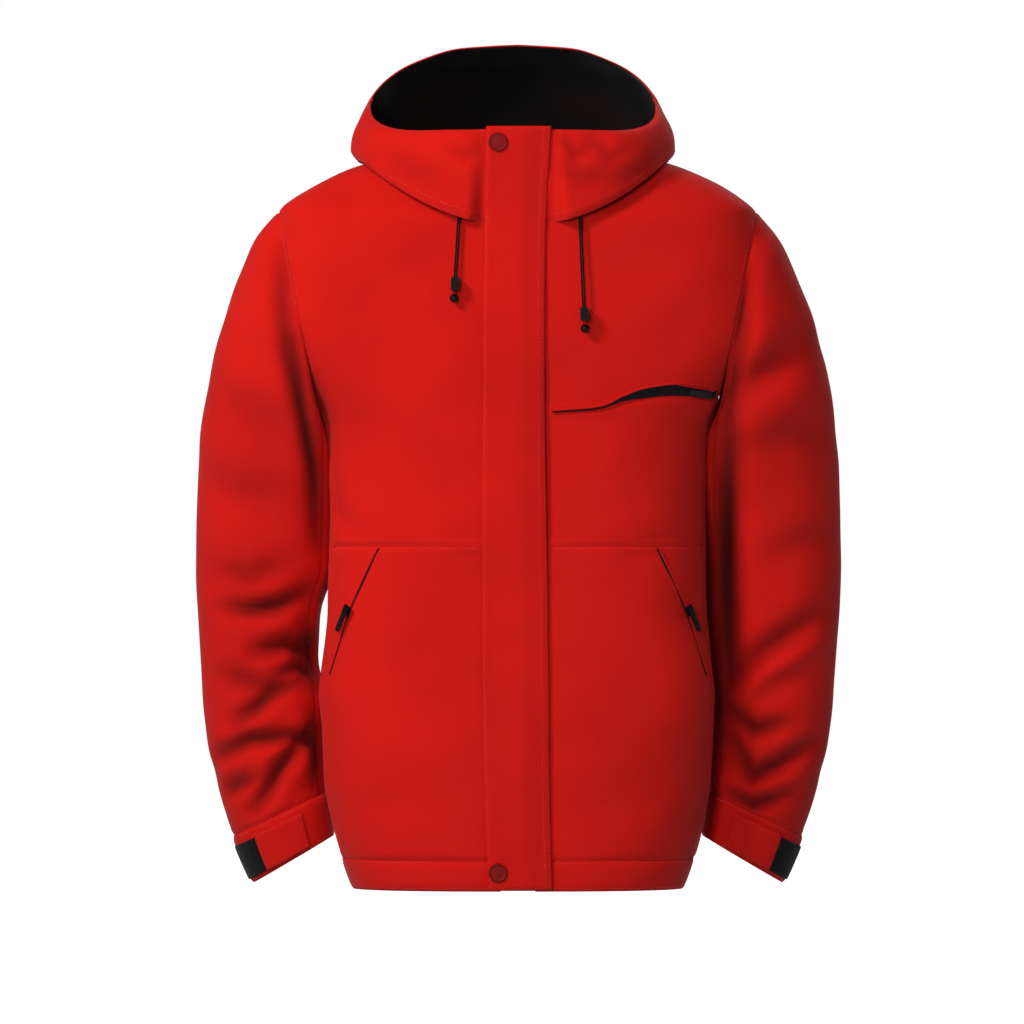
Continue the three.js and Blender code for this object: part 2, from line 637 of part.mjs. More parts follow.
function crownSpot(u, v) {
  const from = HOOD_SEAM_ANGLE + HOOD_SEAM_GAP;
  const angle = lerp(from, 360 - from, u);
  const tuck = smoothstep(1 - Math.abs(2 * u - 1), 0, CROWN_TUCK);
  const side = (share) => {
    const point = hoodHem(angle).lerp(hoodRim(angle), share);
    point.x += Math.sign(point.x) * HOOD_BULGE * Math.sin(Math.PI * share);
    return point;
  };
  const knots = CROWN_RINGS.map(({ half, back, z }, i) => {
    const tucked = superPoint(angle, half, back, back, 0, z, CROWN_SQUARENESS);
    return side(i / CROWN_RINGS.length).lerp(tucked, tuck);
  });
  knots.push(hoodRim(angle));
  return new THREE.CatmullRomCurve3(knots).getPoint(v);
}

for (const [name, side] of Object.entries(SIDES)) {
  place(`hood_front_${name}`, sheet(mirrored(hoodFrontSpot, side), 14, 4, -SHELL / 2, SHELL / 2), 'shell');
}
place('hood_crown', sheet(crownSpot, 16, 10, -SHELL / 2, SHELL / 2), 'shell');

const COLLAR_START = 10;
const COLLAR_RISE = 4;
const COLLAR_INSET = new THREE.Vector3(0.93, 0.93, 1);
function collarSpot(u, v) {
  const angle = lerp(COLLAR_START, 360 - COLLAR_START, u);
  const turn = angle > 180 ? 360 - angle : angle;
  const low = bodyPoint(angle, neckZ(turn) + COLLAR_RISE);
  low.multiply(COLLAR_INSET);
  const { half, front, back, z } = COLLAR_TOP;
  return low.lerp(superPoint(angle, half, front, back, 0, z), v);
}
place('collar_stand', sheet(collarSpot, 22, 2, -SHELL / 2, SHELL / 2), 'lining');

// ---- pocket zips, their sliders and bags ----
function pocketPath(points, t) {
  const curve = new THREE.CatmullRomCurve3(points.map(([x, z]) => new THREE.Vector3(x, 0, z)));
  const spot = curve.getPoint(t);
  return frontPoint(spot.x, spot.z);
}

// A frame on the pocket line: along the zip, across it, and straight out of the cloth.
function pocketFrame(points, t) {
  const step = 0.01;
  const origin = pocketPath(points, t);
  const ahead = pocketPath(points, Math.min(t + step, 1));
  const along = ahead.sub(pocketPath(points, Math.max(t - step, 0))).normalize();
  const lift = 0.5;
  const east = frontPoint(origin.x + lift, origin.z).sub(frontPoint(origin.x - lift, origin.z));
  const north = frontPoint(origin.x, origin.z + lift).sub(frontPoint(origin.x, origin.z - lift));
  const out = east.cross(north).normalize();
  const across = out.clone().cross(along).normalize();
  return { origin, along, across, out };
}

function zipStrip(points, side, segments) {
  const spot = (u, v) => {
    const { origin, across } = pocketFrame(points, u);
    return origin.addScaledVector(across, (v - 0.5) * ZIP_STRIP_WIDTH);
  };
  const lift = SHELL / 2 + ZIP_STRIP_LIFT;
  return sheet(mirrored(spot, side), segments, 1, lift, lift + ZIP_STRIP_THICK);
}

const POCKET_SLIDER = { width: 8, length: 10, thick: 2, clear: 1.9 };
const POCKET_PULL = { width: 6, length: 24, thick: 1.1, hole: 1.9, eyeZ: 3.4 };
const POCKET_PIN = POCKET_PULL.hole - PIN_PLAY;

// Pocket hardware is drawn flat, facing -Y with the zip line along Z, then set on its frame.
function setOnFrame(geometry, { origin, along, across, out }, side) {
  const turn = new THREE.Matrix4().makeBasis(across.clone(), out.clone().negate(), along.clone());
  turn.setPosition(origin);
  return closed(geometry.applyMatrix4(turn).scale(side, 1, 1));
}

const stripTop = SHELL / 2 + ZIP_STRIP_LIFT + ZIP_STRIP_THICK;
const sliderBase = stripTop + POCKET_SLIDER.clear;
const pullBase = sliderBase + POCKET_SLIDER.thick + FIT_GAP;

function pocketSlider() {
  const { width, length, thick } = POCKET_SLIDER;
  return joined(
    box(width, thick, length, 0, -(sliderBase + thick / 2), 0),
    barY(POCKET_PIN, -(pullBase + POCKET_PULL.thick), -(sliderBase + thick / 2), 0, 0, 12),
  );
}

function pocketPull() {
  return pullPlate(POCKET_PULL).translate(0, -pullBase, 0);
}

for (const [name, side] of Object.entries(SIDES)) {
  place(`hand_pocket_zip_${name}`, zipStrip(HAND_POCKET, side, 10), 'zip');
  const seat = pocketFrame(HAND_POCKET, HAND_SLIDER_AT);
  place(`hand_slider_${name}`, setOnFrame(pocketSlider(), seat, side), 'slider');
  place(`hand_pull_${name}`, setOnFrame(pocketPull().rotateY(Math.PI), seat, side), 'slider');
}
place('chest_pocket_zip', zipStrip(CHEST_POCKET, 1, 16), 'zip');
const chestSeat = pocketFrame(CHEST_POCKET, CHEST_SLIDER_AT);
place('chest_slider', setOnFrame(pocketSlider(), chestSeat, 1), 'slider');
place('chest_pull', setOnFrame(pocketPull(), chestSeat, 1), 'slider');

const HAND_BAG = { angles: [28, 68], heights: [110, 330] };
const CHEST_BAG = { angles: [20, 60], heights: [360, 490] };

function pocketBag(side, [a0, a1], [z0, z1]) {
  const spot = (u, v) => bodyPoint(lerp(a0, a1, u), lerp(z0, z1, v));
  return sheet(mirrored(spot, side), 3, 3, -BAG_DEPTH - BAG_THICK, -BAG_DEPTH);
}
for (const [name, side] of Object.entries(SIDES)) {
  place(`hand_pocket_bag_${name}`, pocketBag(side, HAND_BAG.angles, HAND_BAG.heights), 'lining');
}
place('chest_pocket_bag', pocketBag(1, CHEST_BAG.angles, CHEST_BAG.heights), 'lining');

// ---- hanger loop: a narrow tape sewn at both ends behind the back neck ----
function hangerLoop() {
  const spot = (u, v) => new THREE.Vector3(
    lerp(-LOOP_HALF_SPAN, LOOP_HALF_SPAN, u),
    LOOP_REST_Y + LOOP_SAG * (1 - Math.sin(Math.PI * u)),
    LOOP_Z + (v - 0.5) * LOOP_WIDTH,
  );
  return sheet(spot, 12, 1, 0, LOOP_THICK);
}
place('hanger_loop', hangerLoop(), 'lining');

// ---- drawcords, locks and cord ends ----
function cordLine(name) {
  const { top, foot } = CORDS[name];
  return {
    top: new THREE.Vector3(top[0], CORD_TOP_Y, top[1]),
    foot: new THREE.Vector3(foot[0], CORD_FOOT_Y, foot[1]),
  };
}

function strand(name, offset) {
  const { top, foot } = cordLine(name);
  const shift = new THREE.Vector3(offset, 0, 0);
  const path = new THREE.LineCurve3(top.add(shift), foot.add(shift));
  const section = new THREE.Shape().absarc(0, 0, CORD_DIAMETER / 2, 0, 2 * Math.PI, false);
  const steps = Math.round(path.getLength() / (CORD_DIAMETER * 3));
  return closed(new THREE.ExtrudeGeometry(section, { steps, extrudePath: path, curveSegments: 8 }));
}

function alongCord(geometry, name, distance) {
  const { top, foot } = cordLine(name);
  const up = top.sub(foot).normalize();
  const turn = new THREE.Quaternion().setFromUnitVectors(new THREE.Vector3(0, 0, 1), up);
  const seat = foot.addScaledVector(up, distance);
  return closed(geometry.applyQuaternion(turn).translate(seat.x, seat.y, seat.z));
}

const slotHalf = CORD_DIAMETER / 2 + PIN_PLAY;
const lockFrontY = -(LOCK_DEPTH - slotHalf - 1.2);
const boreEndY = -(slotHalf + 0.9);

function lockBody() {
  const body = box(LOCK_WIDTH, LOCK_DEPTH, LOCK_HEIGHT, 0, lockFrontY + LOCK_DEPTH / 2, 0);
  const slot = box(STRAND_SPREAD + 2 * slotHalf, 2 * slotHalf, LOCK_HEIGHT * 2, 0, 0, 0);
  const bore = barY(PLUNGER_RADIUS + FIT_GAP, lockFrontY - 1, boreEndY, 0, 0);
  return cut(body, slot, bore);
}

function lockPlunger() {
  return barY(PLUNGER_RADIUS, lockFrontY - PLUNGER_OUT, boreEndY - PLUNGER_TRAVEL - FIT_GAP, 0, 0);
}

function cordBead() {
  return new THREE.SphereGeometry(BEAD_RADIUS, 12, 8).rotateX(Math.PI / 2);
}

function eyeletRing() {
  const { inner, outer, height } = EYELET;
  const ring = [[inner, 0], [outer, 0], [outer, height], [inner, height], [inner, 0]]
    .map(([r, h]) => new THREE.Vector2(r, h));
  return new THREE.LatheGeometry(ring, 16).rotateX(Math.PI / 2);
}

for (const name of Object.keys(SIDES)) {
  const length = cordLine(name).top.distanceTo(cordLine(name).foot);
  const lockAt = LOCK_ABOVE_FOOT + LOCK_HEIGHT / 2;
  place(`hood_cord_${name}_a`, strand(name, -STRAND_SPREAD / 2), 'cord');
  place(`hood_cord_${name}_b`, strand(name, STRAND_SPREAD / 2), 'cord');
  place(`cord_lock_${name}`, alongCord(lockBody(), name, lockAt), 'plastic');
  place(`lock_plunger_${name}`, alongCord(lockPlunger(), name, lockAt), 'plastic');
  place(`cord_end_${name}`, alongCord(cordBead(), name, -BEAD_RADIUS - FIT_GAP), 'plastic');
  place(`cord_eyelet_${name}`, alongCord(eyeletRing(), name, length - 5), 'steel');
}

jacket.position.set(0, -LOOP_REST_Y, -LOOP_Z);
const group = new THREE.Group();
group.name = 'hardshell_jacket';
group.add(jacket);

export default group;
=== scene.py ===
"""Hardshell jacket: the cloth, trims and finishes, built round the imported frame.

Shapes are worked out in millimetres from the hem line (z = 0) and set into the frame's metres.
"""
import logging
from dataclasses import dataclass, field, replace
from enum import Enum
from typing import Any, Callable, Sequence

import bpy
import numpy as np
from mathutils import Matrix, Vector


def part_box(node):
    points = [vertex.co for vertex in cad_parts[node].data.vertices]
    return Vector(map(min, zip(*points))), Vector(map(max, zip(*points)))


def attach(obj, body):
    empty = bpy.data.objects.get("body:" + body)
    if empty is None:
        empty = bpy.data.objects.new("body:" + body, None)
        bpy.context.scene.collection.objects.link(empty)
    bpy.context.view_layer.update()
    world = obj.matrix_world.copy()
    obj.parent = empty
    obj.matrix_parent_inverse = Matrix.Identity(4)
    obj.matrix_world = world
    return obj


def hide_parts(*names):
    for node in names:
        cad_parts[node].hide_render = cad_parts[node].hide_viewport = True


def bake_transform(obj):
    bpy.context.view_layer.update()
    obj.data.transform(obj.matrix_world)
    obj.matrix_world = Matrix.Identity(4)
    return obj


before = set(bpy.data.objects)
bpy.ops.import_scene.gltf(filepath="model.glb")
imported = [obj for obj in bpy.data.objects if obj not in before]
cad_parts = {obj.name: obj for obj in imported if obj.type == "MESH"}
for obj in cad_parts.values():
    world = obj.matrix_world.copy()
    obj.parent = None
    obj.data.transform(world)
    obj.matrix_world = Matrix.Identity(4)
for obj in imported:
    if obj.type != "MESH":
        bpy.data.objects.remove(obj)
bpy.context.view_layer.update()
logging.basicConfig(level=logging.INFO, format="%(message)s")
LOG = logging.getLogger("jacket")

MM = 0.001
# the plane of the closed zip's front, across the chest
ZIP_PLANE_Y = -122.0
# how square the body's plan sections are: 2 is an ellipse
SQUARENESS = 2.6
# the angle of the shoulder seam, just in front of the body's side
SHOULDER_ANGLE = 89.8
Grid = np.ndarray
# a panel's surface point for shares u across it and v up it, and a seam's height for u
Spot = Callable[[np.ndarray, np.ndarray], np.ndarray]
Seam = Callable[[np.ndarray], np.ndarray]
Place = tuple[float, float, float]


class Side(Enum):
    """The wearer's right and left, with the sign of x there."""

    RIGHT = -1
    LEFT = 1

    @property
    def tag(self) -> str:
        """The side's word in a piece's name."""
        return self.name.lower()

    @property
    def turn(self) -> np.ndarray:
        """What a point of the wearer's left is multiplied by to lie on this side."""
        return np.array([self.value, 1, 1])


class Edge(Enum):
    """The four edges of a panel's grid."""

    LOW_U = "low_u"
    HIGH_U = "high_u"
    LOW_V = "low_v"
    HIGH_V = "high_v"


ALL_EDGES = tuple(Edge)


# ---------------------------------------------------------------- the frame
def frame_shift() -> np.ndarray:
    """Metres from the hem-line origin used here to the frame's origin."""
    low, high = (np.array(corner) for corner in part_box("zip_tape_left"))
    hem_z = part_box("hem_band")[0][2]
    return np.array([0.0, (low[1] + high[1]) / 2 - ZIP_PLANE_Y * MM, hem_z])


SHIFT = frame_shift()


def to_frame(points: Grid) -> Grid:
    """Millimetres from the hem line to the frame's metres."""
    return np.asarray(points, float) * MM + SHIFT


# ---------------------------------------------------------------- numbers and curves
def smooth(value: Grid, low: float, high: float) -> Grid:
    """A soft step from 0 at low to 1 at high."""
    t = np.clip((np.asarray(value, float) - low) / (high - low), 0, 1)
    return t * t * (3 - 2 * t)


@dataclass(frozen=True)
class Track:
    """Values that change smoothly along a row of stations.

    Attributes:
        rows: one row per station, the station first and its values after it.
        softness: how far the corners are rounded, in station units.
    """

    rows: tuple[tuple[float, ...], ...]
    softness: float

    def at(self, station: Grid) -> list[Grid]:
        """Args: station, any array. Returns: one array per value."""
        table = np.array(self.rows, float)
        fine = np.linspace(table[0, 0], table[-1, 0], 500)
        step = fine[1] - fine[0]
        reach = max(1, int(3 * self.softness / step))
        kernel = np.exp(-0.5 * ((np.arange(-reach, reach + 1) * step) / self.softness) ** 2)
        kernel /= kernel.sum()
        out = []
        for column in table[:, 1:].T:
            values = np.interp(fine, table[:, 0], column)
            before = 2 * values[0] - values[reach:0:-1]
            after = 2 * values[-1] - values[-2:-reach - 2:-1]
            soft = np.convolve(np.concatenate([before, values, after]), kernel, "valid")
            out.append(np.interp(station, fine, soft))
        return out


def ring(angle: Grid, half: Grid, front: Grid, back: Grid, mid_y: Grid = 0.0,
         squareness: float = SQUARENESS) -> tuple[Grid, Grid]:
    """A point of a rounded-square plan section.

    Args:
        angle: degrees, 0 at the front, 90 at the wearer's left, 180 at the back.
        half: half width. front, back: depths each way from mid_y.
        squareness: the superellipse's power.

    Returns:
        x and y.
    """
    across, along = np.sin(np.radians(angle)), -np.cos(np.radians(angle))
    power = 2 / squareness
    x = half * np.sign(across) * np.abs(across) ** power
    y = mid_y + np.where(along < 0, front, back) * np.sign(along) * np.abs(along) ** power
    return x, y


@dataclass(frozen=True)
class Fold:
    """A crease in the cloth: a valley with a soft ridge along each side.

    Attributes:
        path: (x, z) points seen from the front.
        width: half width of the valley. depth: how deep it is, or minus that for a ridge.
        facing: -1 on the front of the cloth, 1 on its back, 0 on both.
        gloom: how dark the painted shade on the valley's floor is, from 0 to 1.
    """

    path: tuple[tuple[float, float], ...]
    width: float
    depth: float
    facing: int = -1
    gloom: float = 0.5

    def mirrored(self) -> "Fold":
        """The same crease on the other side of the jacket."""
        return replace(self, path=tuple((-x, z) for x, z in self.path))

    def lift(self, points: Grid, mid_y: Grid) -> tuple[Grid, Grid]:
        """How far this fold moves each point out, in millimetres, and how much painted shade it lays on it
        there.
        """
        x, y, z = points[..., 0], points[..., 1], points[..., 2]
        nearest = np.full(x.shape, 1e9)
        along = np.zeros(x.shape)
        line = np.array(self.path, float)
        run = np.concatenate([[0], np.cumsum(np.linalg.norm(np.diff(line, axis=0), axis=1))])
        for i, (a, b) in enumerate(zip(line[:-1], line[1:])):
            span = b - a
            t = np.clip(((x - a[0]) * span[0] + (z - a[1]) * span[1]) / (span @ span), 0, 1)
            gap = np.hypot(x - a[0] - t * span[0], z - a[1] - t * span[1])
            closer = gap < nearest
            nearest = np.where(closer, gap, nearest)
            along = np.where(closer, (run[i] + t * (run[i + 1] - run[i])) / run[-1], along)
        taper = np.sin(np.pi * np.clip(0.08 + 0.84 * along, 0, 1)) ** 0.7
        valley = -np.exp(-(nearest / self.width) ** 2)
        shoulder = 0.28 * np.exp(-((nearest - 2.0 * self.width) / (1.3 * self.width)) ** 2)
        side = 1.0 if self.facing == 0 else smooth((y - mid_y) * self.facing, -12, 14)
        # painted shade: darker along the valley's floor, fading towards the fold's ends
        dark = self.gloom * taper * -valley * side * min(1.0, abs(self.depth) / 5)
        return self.depth * taper * (valley + shoulder) * side, dark


@dataclass(frozen=True)
class Swell:
    """Slow, uneven rise and fall of cloth, as a sum of seeded waves.

    Attributes:
        height: millimetres. length: the shortest wave, in millimetres. seed: its draw.
        upright: how much longer the waves are up the cloth than across it.
    """

    height: float
    length: float
    seed: int
    upright: float = 1.8

    def lift(self, points: Grid) -> Grid:
        """How far each point is moved out along its normal, in millimetres."""
        draw = np.random.default_rng(self.seed)
        total = np.zeros(points.shape[:-1])
        count = 9
        for _ in range(count):
            aim = draw.normal(size=3)
            aim[2] /= self.upright
            aim /= np.linalg.norm(aim)
            pitch = self.length * draw.uniform(1.0, 2.6)
            total += np.sin(points @ aim * 2 * np.pi / pitch + draw.uniform(0, 2 * np.pi))
        return self.height * total / np.sqrt(count)


# ---------------------------------------------------------------- finishes
def linear(hex_code: str) -> tuple[float, float, float, float]:
    """An sRGB hex colour as linear red, green, blue and alpha."""
    parts = [int(hex_code[i:i + 2], 16) / 255 for i in (1, 3, 5)]
    return (*[c / 12.92 if c <= 0.04045 else ((c + 0.055) / 1.055) ** 2.4 for c in parts], 1.0)


def add_node(tree: bpy.types.NodeTree, kind: str, settings: dict[str | int, Any] | None = None,
             links: dict[str | int, bpy.types.NodeSocket] | None = None) -> bpy.types.Node:
    """Adds one node.

    Args:
        tree: the material's tree. kind: the node's type.
        settings: attribute or input names with their values.
        links: input names with the output socket that feeds each.

    Returns:
        The node.
    """
    node = tree.nodes.new(kind)
    for name, value in (settings or {}).items():
        if isinstance(name, str) and hasattr(node, name):
            setattr(node, name, value)
        else:
            node.inputs[name].default_value = value
    for name, socket in (links or {}).items():
        tree.links.new(socket, node.inputs[name])
    return node


def start_material(name: str) -> tuple[bpy.types.Material, bpy.types.NodeTree, bpy.types.Node]:
    """A new node material with an output. Returns: the material, its tree and its output node."""
    material = bpy.data.materials.new(name)
    material.use_nodes = True
    tree = material.node_tree
    tree.nodes.clear()
    return material, tree, add_node(tree, "ShaderNodeOutputMaterial")


def two_shades(tree: bpy.types.NodeTree, share: bpy.types.NodeSocket,
               *stops: tuple[float, str]) -> bpy.types.Node:
    """A ramp between two sRGB colours. Returns: the ramp's node."""
    ramp = add_node(tree, "ShaderNodeValToRGB", None, {"Fac": share})
    for element, (position, colour) in zip(ramp.color_ramp.elements, stops):
        element.position, element.color = position, linear(colour)
    return ramp


# the period in metres of a Wave texture whose scale is 1
WAVE_METRES = 0.314


def wave_scale(pitch_mm: float) -> float:
    """The Wave texture's scale for a pitch in millimetres."""
    return WAVE_METRES / (pitch_mm * MM)


@dataclass(frozen=True)
class Cloth:
    """A cloth face.

    Attributes:
        light, dark: its two shades, as sRGB. soiled: the colour of the painted shade, deep in a crease.
        roughness, sheen: its mattness and the strength of its nap.
        weave_mm, weave_depth_mm: thread spacing and height.
        crinkle_mm, crinkle_depth_mm: size and height of its fine crinkle.
    """

    name: str
    light: str
    dark: str
    roughness: float
    sheen: float
    weave_mm: float
    weave_depth_mm: float
    crinkle_mm: float
    crinkle_depth_mm: float
    # painted shade: the near-black red that the cloth is darkened towards in the folds' valleys
    soiled: str = "#1c0201"

    def material(self) -> bpy.types.Material:
        """Builds the node material."""
        known = bpy.data.materials.get(self.name)
        if known:
            return known
        material, tree, output = start_material(self.name)
        place = add_node(tree, "ShaderNodeTexCoord").outputs["Object"]
        patches = add_node(tree, "ShaderNodeTexNoise", {"Scale": 9.0, "Detail": 3.0}, {"Vector": place})
        mottle = add_node(tree, "ShaderNodeTexNoise", {"Scale": 900.0, "Detail": 2.0}, {"Vector": place})
        both = add_node(tree, "ShaderNodeMath", {"operation": "MULTIPLY_ADD", 1: 0.35},
                        {0: mottle.outputs[0], 2: patches.outputs[0]})
        shades = two_shades(tree, both.outputs[0], (0.42, self.dark), (0.86, self.light))
        # painted shade: the crease layer mixes the cloth's colour towards a near-black red in the folds'
        # valleys
        crease = add_node(tree, "ShaderNodeAttribute", {"attribute_name": "crease"})
        wear_and_shade = add_node(tree, "ShaderNodeMix", {"data_type": "RGBA", 7: linear(self.soiled)},
                        {0: crease.outputs["Fac"], 6: shades.outputs[0]})
        scale = wave_scale(self.weave_mm)
        warp = add_node(tree, "ShaderNodeTexWave", {"bands_direction": "X", "Scale": scale}, {"Vector": place})
        weft = add_node(tree, "ShaderNodeTexWave", {"bands_direction": "Z", "Scale": scale}, {"Vector": place})
        thread = add_node(tree, "ShaderNodeMath", {"operation": "MAXIMUM"},
                          {0: warp.outputs["Fac"], 1: weft.outputs["Fac"]})
        crinkle = add_node(tree, "ShaderNodeTexNoise", {"Scale": 1 / (self.crinkle_mm * MM), "Detail": 4.0},
                           {"Vector": place})
        creased = add_node(tree, "ShaderNodeBump", {"Strength": 1.0, "Distance": self.crinkle_depth_mm * MM},
                           {"Height": crinkle.outputs[0]})
        woven = add_node(tree, "ShaderNodeBump", {"Strength": 1.0, "Distance": self.weave_depth_mm * MM},
                         {"Height": thread.outputs[0], "Normal": creased.outputs[0]})
        shader = add_node(tree, "ShaderNodeBsdfPrincipled",
                          {"Roughness": self.roughness, "Sheen Weight": self.sheen, "Sheen Roughness": 0.45,
                           "Specular IOR Level": 0.1},
                          {"Base Color": wear_and_shade.outputs[2], "Normal": woven.outputs[0]})
        tree.links.new(shader.outputs[0], output.inputs[0])
        return material


# Polyester face cloth, calendered: dead matt with a faint nap, and a fine plain weave drawn coarser than
# its 0.3 mm threads so that it shows.
FACE = Cloth("polyester_face_cloth", "#cc130b", "#bd0f08", 0.9, 0.02, 0.9, 0.05, 26.0, 0.35)
# The same cloth, dyed thread: stitches catch a little more light than the cloth round them.
THREAD = Cloth("polyester_thread", "#e02c22", "#c41b13", 0.6, 0.2, 0.5, 0.03, 20.0, 0.02)
# Warp-knit tricot glued inside the laminate: dull black with a slight fuzz.
TRICOT = Cloth("black_tricot_backer", "#050506", "#020203", 0.95, 0.05, 1.1, 0.08, 14.0, 0.2)
# Woven nylon tape: black, with a ribbed surface.
TAPE = Cloth("black_nylon_tape", "#070708", "#030304", 0.85, 0.0, 1.0, 0.12, 10.0, 0.1)
# Hook-and-loop pile: black brushed loops with a hairy, light-eating surface.
PILE = Cloth("black_loop_pile", "#070708", "#020202", 0.98, 0.05, 1.3, 0.4, 3.0, 0.5)
# Braided elastic cord: black, with a tight diagonal rib.
BRAID = Cloth("black_braided_elastic", "#050506", "#020203", 0.85, 0.02, 0.8, 0.15, 5.0, 0.1)


@dataclass(frozen=True)
class Hard:
    """A hard finish under faint scuffs.

    Attributes:
        light, dark: its two shades, as sRGB. roughness, metallic, shine: how it takes the light.
        grain_mm, grain_depth_mm: size and height of its grain.
    """

    name: str
    light: str
    dark: str
    roughness: float
    metallic: float
    grain_mm: float
    grain_depth_mm: float
    shine: float = 0.07

    def material(self) -> bpy.types.Material:
        """Builds the node material."""
        known = bpy.data.materials.get(self.name)
        if known:
            return known
        material, tree, output = start_material(self.name)
        place = add_node(tree, "ShaderNodeTexCoord").outputs["Object"]
        grain = add_node(tree, "ShaderNodeTexNoise", {"Scale": 1 / (self.grain_mm * MM), "Detail": 5.0},
                         {"Vector": place})
        shades = two_shades(tree, grain.outputs[0], (0.35, self.dark), (0.7, self.light))
        wear_and_shade = add_node(tree, "ShaderNodeMapRange",
                        {"To Min": self.roughness - 0.08, "To Max": self.roughness + 0.1},
                        {"Value": grain.outputs[0]})
        bump = add_node(tree, "ShaderNodeBump", {"Strength": 1.0, "Distance": self.grain_depth_mm * MM},
                        {"Height": grain.outputs[0]})
        shader = add_node(tree, "ShaderNodeBsdfPrincipled",
                          {"Metallic": self.metallic, "Specular IOR Level": self.shine},
                          {"Base Color": shades.outputs[0], "Roughness": wear_and_shade.outputs[0],
                           "Normal": bump.outputs[0]})
        tree.links.new(shader.outputs[0], output.inputs[0])
        return material


# Snap cap: pressed steel under dark red stoving lacquer, satin with a soft highlight round the rim.
LACQUER = Hard("red_stoved_lacquer", "#7e0c08", "#6a0906", 0.5, 0.0, 2.5, 0.01)
# Slider and puller: zinc casting, painted black, with a low gloss.
BLACK_ZINC = Hard("black_painted_zinc", "#0e0e0f", "#070708", 0.42, 0.0, 1.5, 0.01)
# Toggle: moulded acetal, black, with fine spark-eroded grain.
ACETAL = Hard("black_acetal", "#09090a", "#050506", 0.5, 0.0, 0.6, 0.02)
# Stud: nickel-plated brass, bright.
NICKEL = Hard("nickel_plate", "#b9bbbd", "#9fa1a3", 0.28, 1.0, 1.2, 0.004, shine=0.5)


# ---------------------------------------------------------------- meshes
def mesh_object(name: str, points: Grid, faces: Sequence[Sequence[int]],
                materials: Sequence[bpy.types.Material],
                slots: Sequence[int] | None = None) -> bpy.types.Object:
    """Makes one smooth-shaded object.

    Args:
        name: the piece's name. points: millimetres from the hem line.
        faces: corner indices. materials: its material slots. slots: each face's material.

    Returns:
        The object, linked into the scene.
    """
    mesh = bpy.data.meshes.new(name)
    mesh.from_pydata(to_frame(points).tolist(), [], [list(map(int, face)) for face in faces])
    for material in materials:
        mesh.materials.append(material)
    if slots is not None:
        mesh.polygons.foreach_set("material_index", np.asarray(slots, np.int32))
    mesh.polygons.foreach_set("use_smooth", [True] * len(mesh.polygons))
    mesh.update()
    piece = bpy.data.objects.new(name, mesh)
    bpy.context.scene.collection.objects.link(piece)
    return piece


def dress(piece: bpy.types.Object, body: str | None, nodes: Sequence[str] = ()) -> bpy.types.Object:
    """Gives a piece its place in the frame, and reports it.

    Args:
        piece: the object. body: what it rides on, or None to leave it unattached.
        nodes: the CAD nodes that it stands for.

    Returns:
        The piece.
    """
    if nodes:
        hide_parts(*nodes)
    if body:
        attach(piece, body)
    LOG.info("%s: %d points", piece.name, len(piece.data.vertices))
    return piece


def sheet_faces(rows: int, columns: int) -> tuple[Grid, Grid, Grid]:
    """The faces of a closed sheet whose back repeats its front's points. Returns: front, edge and back."""
    index = np.arange(rows * columns).reshape(rows, columns)
    front = np.stack([index[:-1, :-1], index[:-1, 1:], index[1:, 1:], index[1:, :-1]], axis=-1).reshape(-1, 4)
    rim = np.concatenate([index[0, :-1], index[:-1, -1], index[-1, :0:-1], index[:0:-1, 0]])
    after, shift = np.roll(rim, -1), rows * columns
    edge = np.stack([rim, rim + shift, after + shift, after], axis=-1)
    return front, edge, front[:, ::-1] + shift


def ring_faces(rings: int, sides: int) -> list[tuple[int, ...]]:
    """The faces of a closed bar made of rings of points, with a flat face at each end."""
    faces = []
    for k in range(rings - 1):
        for i in range(sides):
            after = (i + 1) % sides
            faces.append((k * sides + i, k * sides + after, (k + 1) * sides + after, (k + 1) * sides + i))
    faces.append(tuple(range(sides))[::-1])
    faces.append(tuple((rings - 1) * sides + i for i in range(sides)))
    return faces


def grid_normals(points: Grid) -> Grid:
    """Unit normals of a grid of points, from its u and v directions."""
    normal = np.cross(np.gradient(points, axis=1), np.gradient(points, axis=0))
    return normal / np.maximum(np.linalg.norm(normal, axis=-1, keepdims=True), 1e-9)


def edge_gaps(points: Grid) -> dict[Edge, Grid]:
    """Each grid point's distance to each edge, measured along the cloth."""
    across = np.linalg.norm(np.diff(points, axis=1), axis=-1)
    up = np.linalg.norm(np.diff(points, axis=0), axis=-1)
    from_left = np.concatenate([np.zeros((len(points), 1)), np.cumsum(across, axis=1)], axis=1)
    from_foot = np.concatenate([np.zeros((1, points.shape[1])), np.cumsum(up, axis=0)], axis=0)
    return {
        Edge.LOW_U: from_left,
        Edge.HIGH_U: from_left[:, -1:] - from_left,
        Edge.LOW_V: from_foot,
        Edge.HIGH_V: from_foot[-1:, :] - from_foot,
    }


def crowded(count: int) -> Grid:
    """Shares from 0 to 1 that stand closer together at both ends."""
    t = np.linspace(0, 1, count)
    return t - 0.7 * np.sin(2 * np.pi * t) / (2 * np.pi)


